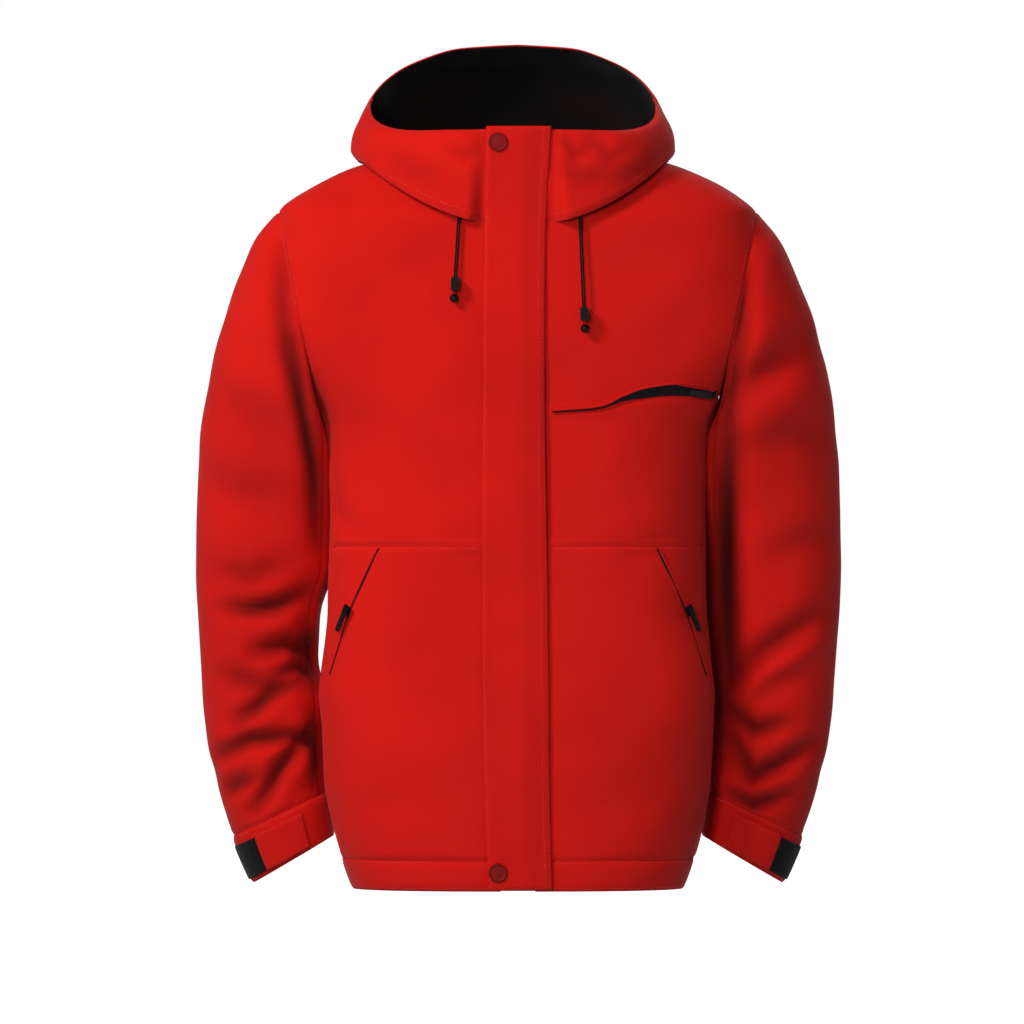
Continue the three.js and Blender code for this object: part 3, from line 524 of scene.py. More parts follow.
@dataclass
class Panel:
    """One cut piece of laminate, sewn at its edges.

    Attributes:
        name: the piece. nodes: the CAD nodes it stands for. spot: surface points for u and v.
        spacing: millimetres between grid points. flip: turns the cloth's face the other way.
        folds, swells: its creases and slow unevenness. mid_y: where its front turns to its back.
        rolled: edges that turn down into a seam. roll: how far, and over what width.
        settle: how far from a seam the cloth's folds reach their full depth.
        body: the body it rides on. thick: the laminate's thickness. outside, inside: its two faces.
        points, normals, crease: its outer face once shaped, and how much painted shade each point has in the
            folds' valleys.
    """

    name: str
    nodes: tuple[str, ...]
    spot: Spot
    spacing: float = 3.6
    flip: bool = False
    folds: tuple[Fold, ...] = ()
    swells: tuple[Swell, ...] = ()
    mid_y: float = -12.0
    rolled: tuple[Edge, ...] = ALL_EDGES
    roll: tuple[float, float] = (1.5, 3.2)
    settle: float = 9.0
    body: str = "jacket"
    thick: float = 0.9
    outside: Cloth = FACE
    inside: Cloth = TRICOT
    points: Grid = field(init=False, repr=False)
    normals: Grid = field(init=False, repr=False)
    crease: Grid = field(init=False, repr=False)

    def shape(self) -> None:
        """Works out the outer face and its normals."""
        probe_u, probe_v = np.meshgrid(np.linspace(0, 1, 24), np.linspace(0, 1, 24))
        probe = self.spot(probe_u, probe_v)
        gaps = edge_gaps(probe)
        columns = int(np.clip(gaps[Edge.HIGH_U][:, 0].max() / self.spacing, 6, 220))
        rows = int(np.clip(gaps[Edge.HIGH_V][0].max() / self.spacing, 6, 260))
        u, v = np.meshgrid(crowded(columns), crowded(rows))
        base = self.spot(u, v)
        normal = grid_normals(base) * (-1 if self.flip else 1)
        lift = np.zeros(base.shape[:-1])
        # painted shade: the folds' valley darkening, gathered into the crease layer
        unshaded = np.ones(base.shape[:-1])
        for fold in self.folds:
            moved, dark = fold.lift(base, self.mid_y)
            lift = lift + moved
            unshaded = unshaded * (1 - dark)
        self.crease = 1 - unshaded
        lift = lift + sum((swell.lift(base) for swell in self.swells), np.zeros(base.shape[:-1]))
        gaps = edge_gaps(base)
        for edge in self.rolled:
            lift = lift * smooth(gaps[edge], -2.0, self.settle)
        deep, wide = self.roll
        for edge in self.rolled:
            lift = lift - deep * np.exp(-(gaps[edge] / wide) ** 2)
        self.points = base + normal * lift[..., None]
        self.normals = grid_normals(self.points) * (-1 if self.flip else 1)

    def build(self) -> bpy.types.Object:
        """Makes the closed, two-faced sheet. Returns: the piece, which rides on nothing yet."""
        self.shape()
        outer = self.points.reshape(-1, 3)
        inner = (self.points - self.normals * self.thick).reshape(-1, 3)
        front, edge, back = sheet_faces(*self.points.shape[:2])
        faces = np.concatenate([front, edge, back])
        a, b, c = (outer[front[:, k]] for k in range(3))
        if (np.cross(b - a, c - a) * self.normals.reshape(-1, 3)[front[:, 0]]).sum() < 0:
            faces = faces[:, ::-1]
        slots = np.concatenate([np.zeros(len(front) + len(edge)), np.ones(len(back))])
        piece = mesh_object(f"{self.name}_sewn", np.concatenate([outer, inner]), faces,
                            [self.outside.material(), self.inside.material()], slots)
        # painted shade: the crease layer that the cloth material darkens by
        soiled = piece.data.attributes.new("crease", "FLOAT", "POINT")
        soiled.data.foreach_set("value", np.tile(self.crease.reshape(-1), 2).astype(np.float32))
        return dress(piece, None, self.nodes)

    def line(self, edge: Edge, inset: float) -> tuple[Grid, Grid]:
        """The line that runs inset millimetres inside an edge. Returns: its points and normals."""
        gaps = edge_gaps(self.points)[edge]
        if edge in (Edge.LOW_V, Edge.HIGH_V):
            stack, normals, gap = self.points, self.normals, gaps
        else:
            stack, normals, gap = (np.swapaxes(a, 0, 1) for a in (self.points, self.normals, gaps))
        if edge in (Edge.HIGH_U, Edge.HIGH_V):
            stack, normals, gap = stack[::-1], normals[::-1], gap[::-1]
        spots, aims = [], []
        for k in range(stack.shape[1]):
            spots.append([np.interp(inset, gap[:, k], stack[:, k, i]) for i in range(3)])
            aims.append([np.interp(inset, gap[:, k], normals[:, k, i]) for i in range(3)])
        return np.array(spots), np.array(aims)


@dataclass
class Stitching:
    """Rows of lock stitches, gathered into one piece.

    Attributes:
        name, body: the piece and what it rides on. pitch: from stitch to stitch.
        length, width, height: one stitch's size. rows: points and normals of each row.
    """

    name: str
    body: str = "jacket"
    pitch: float = 3.6
    length: float = 2.6
    width: float = 0.75
    height: float = 0.42
    rows: list[tuple[Grid, Grid]] = field(default_factory=list)

    def run(self, panel: Panel, edge: Edge, *insets: float) -> None:
        """Adds a row at each inset from a panel's edge."""
        for inset in insets:
            self.rows.append(panel.line(edge, inset))

    def stitches(self) -> bpy.types.Object:
        """Makes every stitch as a slim double cone. Returns: the object."""
        points, faces = [], []
        for line, normals in self.rows:
            run = np.concatenate([[0], np.cumsum(np.linalg.norm(np.diff(line, axis=0), axis=1))])
            for at in np.arange(self.pitch, run[-1] - self.pitch, self.pitch):
                spot, ahead, aim = (np.array([np.interp(s, run, values[:, i]) for i in range(3)])
                                    for s, values in ((at, line), (at + 0.5, line), (at, normals)))
                along = ahead - spot
                along /= max(np.linalg.norm(along), 1e-9)
                aim /= max(np.linalg.norm(aim), 1e-9)
                across = np.cross(along, aim)
                start = len(points)
                half_run, half_width = along * self.length / 2, across * self.width / 2
                points += [spot + half_run, spot - half_run,
                           spot + half_width + aim * 0.1, spot - half_width + aim * 0.1,
                           spot + aim * self.height, spot - aim * 0.2]
                for a, b in ((2, 4), (4, 3), (3, 5), (5, 2)):
                    faces += [(start, start + b, start + a), (start + 1, start + a, start + b)]
        return mesh_object(self.name, np.array(points), faces, [THREAD.material()])

    def build(self) -> bpy.types.Object:
        """Makes the stitches and sets them on their body. Returns: the piece."""
        return dress(self.stitches(), self.body)


def sew(panel: Panel) -> bpy.types.Object:
    """Builds a panel and sets it on its body. Returns: the piece."""
    piece = panel.build()
    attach(piece, panel.body)
    return piece


# ---------------------------------------------------------------- the body
@dataclass
class BodyForm:
    """The body's surface with the jacket on, as plan sections up the height.

    Attributes:
        mid_y: where front turns to back. armhole_top, armhole_foot: x and z. armhole_depth: its half depth.
        side_angle: the side seam. tuck: degrees the panels run on under the sleeve's edge.
        zip_edge_x: half the gap for the zip. sections: z, half width, front depth and back depth.
    """

    mid_y: float = -12.0
    armhole_top: tuple[float, float] = (238.0, 676.0)
    armhole_foot: tuple[float, float] = (195.0, 462.0)
    armhole_depth: float = 74.0
    side_angle: float = 78.0
    tuck: float = 1.4
    zip_edge_x: float = 17.0
    sections: Track = Track((
        (0, 166, 110, 104), (17, 173, 110, 106), (53, 183, 110, 110), (100, 193, 110, 114),
        (198, 198, 110, 114), (274, 189, 110, 106), (388, 188, 110, 104), (438, 191, 110, 106),
        (462, 195, 110, 110),
        (600, 226, 110, 110), (640, 233, 110, 108), (668, 237, 109, 101), (676, 241.5, 104, 98),
        (691, 220, 92, 91), (703, 199, 82, 84), (721, 160, 66, 72), (736, 104, 56, 62), (752, 84, 50, 56),
    ), 5.0)

    def armhole_edge(self, z: Grid) -> Grid:
        """How far out the armhole's edge is at a height."""
        (top_x, top_z), (foot_x, foot_z) = self.armhole_top, self.armhole_foot
        return foot_x + (top_x - foot_x) * (z - foot_z) / (top_z - foot_z)

    def section(self, z: Grid) -> tuple[Grid, Grid, Grid]:
        """Half width, front depth and back depth at a height."""
        half, front, back = self.sections.at(z)
        top_z, foot_z = self.armhole_top[1], self.armhole_foot[1]
        inside = (z > foot_z) & (z < top_z)
        middle = (top_z + foot_z) / 2
        reach = np.clip((z - middle) / (top_z - middle), -1, 1)
        hole = self.armhole_depth * np.sqrt(1 - reach ** 2)
        share = 1 - (hole / front) ** SQUARENESS
        return np.where(inside, self.armhole_edge(z) / share ** (1 / SQUARENESS), half), front, back

    def point(self, angle: Grid, z: Grid) -> Grid:
        """The surface point at an angle and height."""
        half, front, back = self.section(z)
        x, y = ring(angle, half, front, back, self.mid_y)
        return np.stack(np.broadcast_arrays(x, y, z), axis=-1)

    def angle_at(self, x: Grid, z: Grid) -> Grid:
        """The angle at which the front is x from the middle."""
        half = self.section(z)[0]
        return np.degrees(np.arcsin(np.clip(np.abs(x) / half, 0, 1) ** (SQUARENESS / 2)))

    def side_limit(self, z: Grid) -> Grid:
        """The angle where the panels end: side seam, armhole or shoulder seam."""
        top_z, foot_z = self.armhole_top[1], self.armhole_foot[1]
        hole = np.minimum(self.angle_at(self.armhole_edge(z), z) + self.tuck, SHOULDER_ANGLE)
        low = np.minimum(hole, self.side_angle)
        limit = np.where(z > (top_z + foot_z) / 2, hole, low)
        limit = np.where(z >= top_z, SHOULDER_ANGLE, limit)
        return np.where(z <= foot_z, self.side_angle, limit)

    def front_point(self, x: Grid, z: Grid) -> Grid:
        """The front surface point at x and z."""
        spot = self.point(self.angle_at(x, z), z)
        spot[..., 0] *= np.where(np.asarray(x) < 0, -1, 1)
        return spot


BODY = BodyForm()


def level(z: float) -> Seam:
    """A seam that runs level at a height."""
    def seam(u: Grid) -> Grid:
        """The seam's height at each share of the way across."""
        return z + 0 * u
    return seam


@dataclass
class Body:
    """Front, side and back panels, hem band and their stitching.

    Attributes:
        hem, waist, chest_seam, yoke: heights of the seams. neck_front, neck_side, neck_back: of the neckline.
        seam: the gap at each edge, below 0 because the pieces lap a little.
        side_reach: how far the side panel runs up inside the armhole.
        swells, folds: the cloth's unevenness and creases.
    """

    hem: float = 30.0
    waist: float = 342.0
    chest_seam: float = 479.0
    yoke: float = 560.0
    neck_front: float = 714.0
    neck_side: float = 746.0
    neck_back: float = 740.0
    seam: float = -0.1
    side_reach: float = 16.0
    swells: tuple[Swell, ...] = (Swell(1.5, 120, 3, 2.6), Swell(0.5, 46, 8, 1.6))
    # each fold's last number is how much painted shade lies in its valley
    folds: tuple[Fold, ...] = (
        Fold(((-222, 545), (-212, 512), (-199, 478), (-194, 440)), 9, 4.5, -1, 0.6),
        Fold(((-196, 420), (-182, 376), (-150, 350)), 12, 2.2, -1, 0.15),
        Fold(((214, 520), (205, 482), (196, 440)), 9, 4.0, -1, 0.6),
        Fold(((-190, 610), (-150, 560), (-128, 500)), 26, 1.6, -1, 0.1),
        Fold(((196, 600), (160, 560), (140, 512)), 24, 1.4, -1, 0.1),
        Fold(((-60, 655), (-110, 610), (-150, 590)), 20, 1.5, -1, 0.1),
        Fold(((178, 332), (150, 344), (110, 336)), 14, 1.6, -1, 0.15),
        Fold(((-180, 118), (-120, 92), (-60, 100)), 26, 1.6, -1, 0.1),
        Fold(((60, 108), (120, 88), (176, 120)), 26, 1.5, -1, 0.1),
        Fold(((-150, 330), (-40, 300), (60, 318), (150, 300)), 22, 3.2, 1, 0.1),
        Fold(((-160, 250), (-30, 262), (120, 236)), 26, 2.6, 1, 0.1),
        Fold(((-170, 520), (-80, 470), (0, 450)), 24, 2.4, 1, 0.1),
        Fold(((170, 520), (90, 474), (20, 440)), 24, 2.4, 1, 0.1),
        Fold(((-120, 120), (-60, 90), (40, 96)), 30, 2.0, 1, 0.1),
    )

    def neck(self, angle: Grid) -> Grid:
        """The height of the neckline at an angle."""
        turn = np.clip(angle / SHOULDER_ANGLE, 0, 1)
        front = self.neck_front + (self.neck_side - self.neck_front) * turn
        back = self.neck_side + (self.neck_back - self.neck_side) * np.clip((angle - SHOULDER_ANGLE) / 90, 0, 1)
        return np.where(angle <= SHOULDER_ANGLE, front, back)

    def front_neck(self, u: Grid) -> Grid:
        """The neckline's height across a front panel."""
        return self.neck(u * SHOULDER_ANGLE)

    def back_neck(self, u: Grid) -> Grid:
        """The neckline's height across the back."""
        return self.neck_back + (self.neck_side - self.neck_back) * np.abs(2 * u - 1)

    def chest_line(self, u: Grid) -> Grid:
        """The height of the chest pocket's seam across the left front."""
        return self.chest_seam - 3 + 17 * smooth(u, 0.18, 0.5) - 4 * smooth(u, 0.75, 1.0)

    def front(self, name: str, side: Side, low: Seam, high: Seam) -> Panel:
        """A front panel between two seams."""
        def spot(u: Grid, v: Grid) -> Grid:
            """From the zip to the side, and from the lower seam to the upper."""
            z = low(u) + self.seam + (high(u) - low(u) - 2 * self.seam) * v
            start = BODY.angle_at(BODY.zip_edge_x, z)
            angle = start + (BODY.side_limit(z) - self.seam / 3 - start) * u
            return BODY.point(angle, z) * side.turn
        return Panel(name, (name,), spot, flip=side is Side.RIGHT, folds=self.folds, swells=self.swells)

    def back(self, name: str, low: float, high: Seam) -> Panel:
        """A back panel between two seams."""
        def spot(u: Grid, v: Grid) -> Grid:
            """From the wearer's left to the right, and from the lower seam to the upper."""
            z = low + self.seam + (high(u) - low - 2 * self.seam) * v
            start = 180 - BODY.side_limit(z) + self.seam / 3
            return BODY.point(start + (360 - 2 * start) * u, z)
        return Panel(name, (name,), spot, spacing=4.6, folds=self.folds, swells=self.swells)

    def side(self, side: Side) -> Panel:
        """The narrow panel under the arm, which runs up a little inside the armhole."""
        def spot(u: Grid, v: Grid) -> Grid:
            """Round from the front to the back, and from the hem up."""
            z = self.hem + self.seam + (BODY.armhole_foot[1] + self.side_reach - self.hem) * v
            start = BODY.side_angle + self.seam / 3
            return BODY.point(start + (180 - 2 * start) * u, z) * side.turn
        name = f"side_panel_{side.tag}"
        return Panel(name, (name,), spot, spacing=4.6, flip=side is Side.RIGHT, swells=self.swells)

    def hem_band(self) -> Panel:
        """The turned-up hem, from zip round to zip."""
        def spot(u: Grid, v: Grid) -> Grid:
            """Round the body from its left front to its right, and up."""
            z = (self.hem - self.seam) * v
            start = BODY.angle_at(BODY.zip_edge_x, z)
            return BODY.point(start + (360 - 2 * start) * u, z)
        return Panel("hem_band", ("hem_band",), spot, swells=self.swells[:1], roll=(1.3, 2.6), thick=1.8)

    def build(self) -> None:
        """Builds every body panel and its stitching."""
        hem_line, waist, yoke_line = level(self.hem), level(self.waist), level(self.yoke)
        right_upper = self.front("front_right_upper", Side.RIGHT, waist, self.front_neck)
        right_lower = self.front("front_right_lower", Side.RIGHT, hem_line, waist)
        left_yoke = self.front("front_left_yoke", Side.LEFT, self.chest_line, self.front_neck)
        left_upper = self.front("front_left_upper", Side.LEFT, waist, self.chest_line)
        left_lower = self.front("front_left_lower", Side.LEFT, hem_line, waist)
        yoke = self.back("back_yoke", self.yoke, self.back_neck)
        panel = self.back("back_panel", self.hem, yoke_line)
        hem = self.hem_band()
        panels = [right_upper, right_lower, left_yoke, left_upper, left_lower, yoke, panel, hem,
                  self.side(Side.LEFT), self.side(Side.RIGHT)]
        for each in panels:
            sew(each)
        rows = Stitching("body_stitching")
        for each in (right_upper, left_yoke):
            rows.run(each, Edge.HIGH_U, 7.6)
            rows.run(each, Edge.HIGH_V, 2.4)
        for each in (right_lower, left_lower):
            rows.run(each, Edge.HIGH_V, 2.2)
        rows.run(yoke, Edge.LOW_V, 2.2, 7.0)
        rows.run(yoke, Edge.LOW_U, 2.4)
        rows.run(yoke, Edge.HIGH_U, 2.4)
        rows.run(hem, Edge.HIGH_V, 2.2)
        rows.run(hem, Edge.LOW_V, 3.0)
        rows.build()


# ---------------------------------------------------------------- sleeves and cuffs
@dataclass
class SleeveForm:
    """A sleeve's surface: sections from the armhole to the cuff's mouth.

    Attributes:
        sections: station, outer x and z, inner x and z, half depth and mid-line y.
        daylight: how far the wearer's right sleeve stands off the body: station and millimetres.
        cuff_at, end: the stations of the cuff's seam and its mouth.
    """

    sections: Track = Track((
        (0, 238.5, 676.5, 195, 461.5, 74.4, -12), (1, 262, 650, 190, 450, 75, -11),
        (2, 281, 608, 187, 434, 75, -8), (3, 300, 552, 185, 413, 73, -2), (4, 314, 485, 184, 388, 70, 8),
        (5, 321, 430, 184, 363, 67, 18), (6, 323, 360, 186, 325, 64, 28), (7, 322, 280, 187, 270, 62, 36),
        (8, 316, 189, 193, 205, 59, 41), (9, 309, 128, 195, 160, 56, 42), (10, 285, 45, 191, 92, 50, 42),
        (11, 266, 4, 184, 52, 46, 42),
    ), 0.34)
    daylight: Track = Track(((0, 0), (6.2, 0), (6.8, 12), (7.6, 12), (8.3, 0), (11, 0)), 0.15)
    cuff_at: float = 10.0
    end: float = 11.0
    squareness: float = 2.2

    def point(self, along: Grid, angle: Grid, side: Side) -> Grid:
        """The surface point at a station; angle 0 is the outer edge, 90 the front, 180 the inner edge."""
        ox, oz, ix, iz, depth, mid_y = self.sections.at(along)
        if side is Side.RIGHT:
            ix = ix + self.daylight.at(along)[0]
        squareness = 2 + (self.squareness - 2) * smooth(along, 0, 1)
        across, front = ring(90 - np.asarray(angle, float), 1.0, 1.0, 1.0, 0.0, squareness)
        x = (ox + ix) / 2 + across * (ox - ix) / 2
        z = (oz + iz) / 2 + across * (oz - iz) / 2
        y = mid_y + front * depth
        return np.stack(np.broadcast_arrays(x * side.value, y, z), axis=-1)


SLEEVE = SleeveForm()


# creases on the back of the wearer's left sleeve, mirrored on the right
SLEEVE_BACK = (
    Fold(((292, 294), (262, 286), (220, 300)), 15, 3.9, 1, 0.25),
    Fold(((290, 204), (258, 196), (214, 214)), 15, 3.5, 1, 0.25),
    Fold(((300, 118), (256, 128), (212, 166)), 13, 3.2, 1, 0.5),
    Fold(((300, 560), (262, 500), (222, 470)), 20, 2.8, 1, 0.25),
)


@dataclass
class Sleeves:
    """Both sleeves with their cuffs, tabs and loop patches.

    Attributes:
        under_angle: how far round the upper piece runs each way. swells, folds: as on a panel.
    """

    under_angle: float = 148.0
    swells: tuple[Swell, ...] = (Swell(0.8, 100, 5, 1.2), Swell(0.4, 40, 12, 1.0))
    # each fold's last number is its painted shade; the strips beside the body, at 0.9 and more, paint the shade
    # between sleeve and body
    folds: dict[Side, tuple[Fold, ...]] = field(default_factory=lambda: {
        Side.RIGHT: (
            Fold(((-292, 281), (-266, 279), (-240, 283), (-208, 298)), 9, 8.4, -1, 0.85),
            Fold(((-300, 318), (-268, 312), (-232, 322)), 13, 4.2, -1, 0.5),
            Fold(((-262, 236), (-230, 244), (-202, 232)), 9, 10.1, -1, 0.75),
            Fold(((-240, 216), (-222, 222), (-204, 214)), 7, 6.2, -1, 0.75),
            Fold(((-296, 214), (-268, 206), (-240, 202)), 11, 4.4, -1, 0.5),
            Fold(((-282, 166), (-262, 180), (-244, 196), (-222, 204)), 8, 6.6, -1, 0.75),
            Fold(((-310, 126), (-288, 138), (-268, 148), (-226, 152), (-204, 150)), 8, 7.9, -1, 0.75),
            Fold(((-262, 78), (-248, 100), (-238, 120), (-204, 158)), 8, 9.0, -1, 0.75),
            Fold(((-296, 92), (-280, 104), (-262, 110)), 8, 4.4, -1, 0.75),
            Fold(((-226, 545), (-214, 480), (-203, 420), (-200, 345)), 9, 6.0, -1, 0.9),
            Fold(((-214, 262), (-204, 236), (-203, 205)), 12, 6.0, -1, 0.95),
            Fold(((-206, 172), (-203, 150), (-200, 100)), 8, 5.0, -1, 0.9),
            Fold(((-236, 640), (-236, 590), (-228, 530), (-214, 478)), 10, 5.1, -1, 0.5),
            Fold(((-300, 500), (-268, 470), (-228, 452)), 19, 3.7, -1, 0.25),
            Fold(((-318, 420), (-280, 396), (-236, 390)), 20, 3.1, -1, 0.25),
            *(fold.mirrored() for fold in SLEEVE_BACK),
        ),
        Side.LEFT: (
            Fold(((217, 490), (244, 512), (284, 540)), 17, 9.7, -1, 0.25),
            Fold(((224, 620), (222, 560), (212, 480)), 11, 6.1, -1, 0.5),
            Fold(((206, 512), (209, 430), (205, 330), (207, 220), (206, 130)), 15, 7.0, -1, 0.95),
            Fold(((216, 190), (256, 220), (304, 248)), 10, -4.8, -1, 0.0),
            Fold(((214, 214), (250, 240), (300, 274)), 11, 6.1, -1, 0.5),
            Fold(((212, 150), (234, 113), (262, 124), (294, 144)), 9, 8.4, -1, 0.75),
            Fold(((210, 178), (238, 160), (270, 166)), 9, 5.5, -1, 0.75),
            Fold(((210, 96), (236, 84), (270, 92)), 8, 5.8, -1, 0.75),
            Fold(((250, 330), (282, 344), (318, 350)), 17, 4.1, -1, 0.25),
            Fold(((236, 440), (270, 452), (312, 446)), 19, 3.7, -1, 0.25),
            *SLEEVE_BACK,
        ),
    })

    def tube(self, name: str, side: Side, angles: tuple[float, float], run: tuple[float, float],
             lift: float = 0.0, **details: Any) -> Panel:
        """A panel over part of the sleeve.

        Args:
            name, side: the piece. angles, run: its part of the girth and of the length.
            lift: how far off the sleeve it lies. details: more of the panel's own values.

        Returns:
            The panel.
        """
        def spot(u: Grid, v: Grid) -> Grid:
            """Round the sleeve, and along it."""
            angle = angles[0] + (angles[1] - angles[0]) * u
            along = run[0] + (run[1] - run[0]) * v
            base = SLEEVE.point(along, angle, side)
            if not lift:
                return base
            normal = grid_normals(base) * (1 if side is Side.LEFT else -1)
            return base + normal * lift
        return Panel(name, (name,), spot, flip=side is Side.RIGHT, mid_y=20.0, **details)

    def build(self) -> None:
        """Builds both sleeves."""
        rows = Stitching("sleeve_stitching")
        for side in Side:
            tag = side.tag
            run = (SLEEVE.cuff_at, 0.0)
            upper = self.tube(f"sleeve_{tag}_upper", side, (self.under_angle, -self.under_angle), run,
                              spacing=3.8, folds=self.folds[side], swells=self.swells)
            under = self.tube(f"sleeve_{tag}_under", side, (360 - self.under_angle, self.under_angle), run,
                              spacing=4.4, folds=self.folds[side], swells=self.swells)
            cuff = self.tube(f"cuff_band_{tag}", side, (185.0, -175.0), (SLEEVE.end, SLEEVE.cuff_at - 0.01),
                             lift=0.6, spacing=3.0, rolled=(Edge.LOW_V, Edge.HIGH_V), roll=(1.4, 2.4),
                             thick=2.0, swells=(Swell(0.7, 60, 21, 1.0),))
            patch = self.tube(f"cuff_patch_{tag}", side, (100.0, -22.0),
                              (SLEEVE.end - 0.1, SLEEVE.cuff_at + 0.16), lift=2.4, spacing=2.2,
                              roll=(0.5, 1.2), thick=1.1, outside=PILE, inside=PILE)
            tab = self.tube(f"cuff_tab_{tag}", side, (112.0, 58.0),
                            (SLEEVE.end - 0.08, SLEEVE.cuff_at + 0.12), lift=4.4, spacing=2.0,
                            roll=(0.9, 1.8), thick=1.6, body=f"cuff_tab_{tag}")
            for panel in (upper, under, cuff, patch, tab):
                sew(panel)
            rows.run(upper, Edge.HIGH_V, 2.6)
            rows.run(upper, Edge.LOW_V, 2.4)
            rows.run(cuff, Edge.LOW_V, 3.0)
            rows.run(cuff, Edge.HIGH_V, 2.6)
            tab_rows = Stitching(f"cuff_tab_{tag}_stitching", body=f"cuff_tab_{tag}")
            for edge in ALL_EDGES:
                tab_rows.run(tab, edge, 2.4)
            tab_rows.build()
        rows.build()


# ---------------------------------------------------------------- hood and collar
@dataclass
class HoodForm:
    """The hood as it lies: a standing front, and a crown folded back behind the neck.

    Attributes:
        lean: how far both sides stand over to the wearer's right.
        hem, rim: half width, front depth and back depth of the lower and upper edges.
        hem_heights: of the lower edge, at the front and at the side. hem_curve: how its height climbs between.
        flare: how far the lower edge stands off the chest, and the x where that starts and is full.
        seam_angle, seam_gap: where the front halves end, and the gap to the crown.
        bulge: how far the cloth swells out between its edges.
        rim_heights: angle and height.
        rings: half width, back depth and height of the crown, from the neck seam round the bag to the rim.
        crown_squareness: the rings' plan shape. crown_tuck: the share of the width where they take hold.
    """

    lean: float = -5.0
    hem: tuple[float, float, float] = (159.0, 122.0, 118.0)
    hem_heights: tuple[float, float] = (660.0, 729.0)
    rim: tuple[float, float, float] = (145.0, 122.0, 122.0)
    flare: tuple[float, float, float] = (14.0, 36.0, 52.0)
    hem_curve: float = 2.2
    seam_angle: float = 98.0
    seam_gap: float = 0.6
    bulge: float = 6.0
    rim_heights: Track = Track((
        (0, 755), (40, 755), (52, 757), (66, 763), (78, 772), (90, 784), (110, 801), (135, 825),
        (160, 845), (180, 849),
    ), 4.0)
    rings: tuple[tuple[float, float, float], ...] = (
        (112, 66, 744), (130, 108, 690), (138, 142, 653), (146, 184, 736), (138, 166, 812))
    crown_squareness: float = 2.2
    crown_tuck: float = 0.9

    def hem_point(self, angle: Grid) -> Grid:
        """The lower edge, which stands off the chest beside the flap."""
        half, front, back = self.hem
        x, y = ring(angle, half, front, back)
        share = np.abs(x) / half
        z = self.hem_heights[0] + (self.hem_heights[1] - self.hem_heights[0]) * share ** self.hem_curve
        facing = np.clip(-y / front, 0, 1)
        reach, start, end = self.flare
        y = y - reach * facing * smooth(np.abs(x), start, end)
        return np.stack(np.broadcast_arrays(x + self.lean * share, y, z), axis=-1)

    def rim_point(self, angle: Grid) -> Grid:
        """The upper edge, round the face."""
        half, front, back = self.rim
        x, y = ring(angle, half, front, back)
        turn = np.where(np.abs(angle) > 180, 360 - np.abs(angle), np.abs(angle))
        z = self.rim_heights.at(turn)[0]
        return np.stack(np.broadcast_arrays(x + self.lean * np.abs(x) / half, y, z), axis=-1)

    def front(self, u: Grid, v: Grid) -> Grid:
        """A point of the left front half."""
        start = np.degrees(np.arcsin((BODY.zip_edge_x / self.rim[0]) ** (SQUARENESS / 2)))
        angle = start + (self.seam_angle - self.seam_gap / 2 - start) * u
        low, high = self.hem_point(angle), self.rim_point(angle)
        out = low * np.array([1 / self.hem[0], 1 / self.hem[1], 0])
        out /= np.maximum(np.linalg.norm(out, axis=-1, keepdims=True), 1e-9)
        bulge = self.bulge * np.sin(np.pi * v) * smooth(u, 0.1, 0.4)
        return low + (high - low) * v[..., None] + out * bulge[..., None]

    def crown(self, u: Grid, v: Grid) -> Grid:
        """A point of the crown, from the neck seam (v = 0) to the rim."""
        start = self.seam_angle + self.seam_gap / 2
        angle = start + (360 - 2 * start) * u
        tuck = smooth(1 - np.abs(2 * u - 1), 0, self.crown_tuck)[..., None]
        low, high = self.hem_point(angle), self.rim_point(angle)
        out = np.sign(low[..., :1]) * np.array([1.0, 0, 0])
        knots = []
        count = len(self.rings)
        for i, (half, back, z) in enumerate(self.rings):
            share = i / count
            side = low + (high - low) * share + out * self.bulge * np.sin(np.pi * share)
            x, y = ring(angle, half, back, back, 0.0, self.crown_squareness)
            tucked = np.stack(np.broadcast_arrays(x + self.lean * np.abs(x) / half, y, z), axis=-1)
            knots.append(side + (tucked - side) * tuck)
        knots.append(high)
        return catmull(knots, v)


def catmull(knots: list[Grid], v: Grid) -> Grid:
    """A smooth curve through the knots, at share v of its parameter."""
    last = len(knots) - 1
    place = np.clip(v * last, 0, last - 1e-6)
    step = np.floor(place).astype(int)
    t = (place - step)[..., None]
    stack = np.stack([2 * knots[0] - knots[1], *knots, 2 * knots[-1] - knots[-2]])
    rows, columns = np.indices(v.shape)
    a, b, c, d = (stack[step + k, rows, columns] for k in range(4))
    return 0.5 * (2 * b + (c - a) * t + (2 * a - 5 * b + 4 * c - d) * t ** 2 + (3 * b - a - 3 * c + d) * t ** 3)


HOOD = HoodForm()


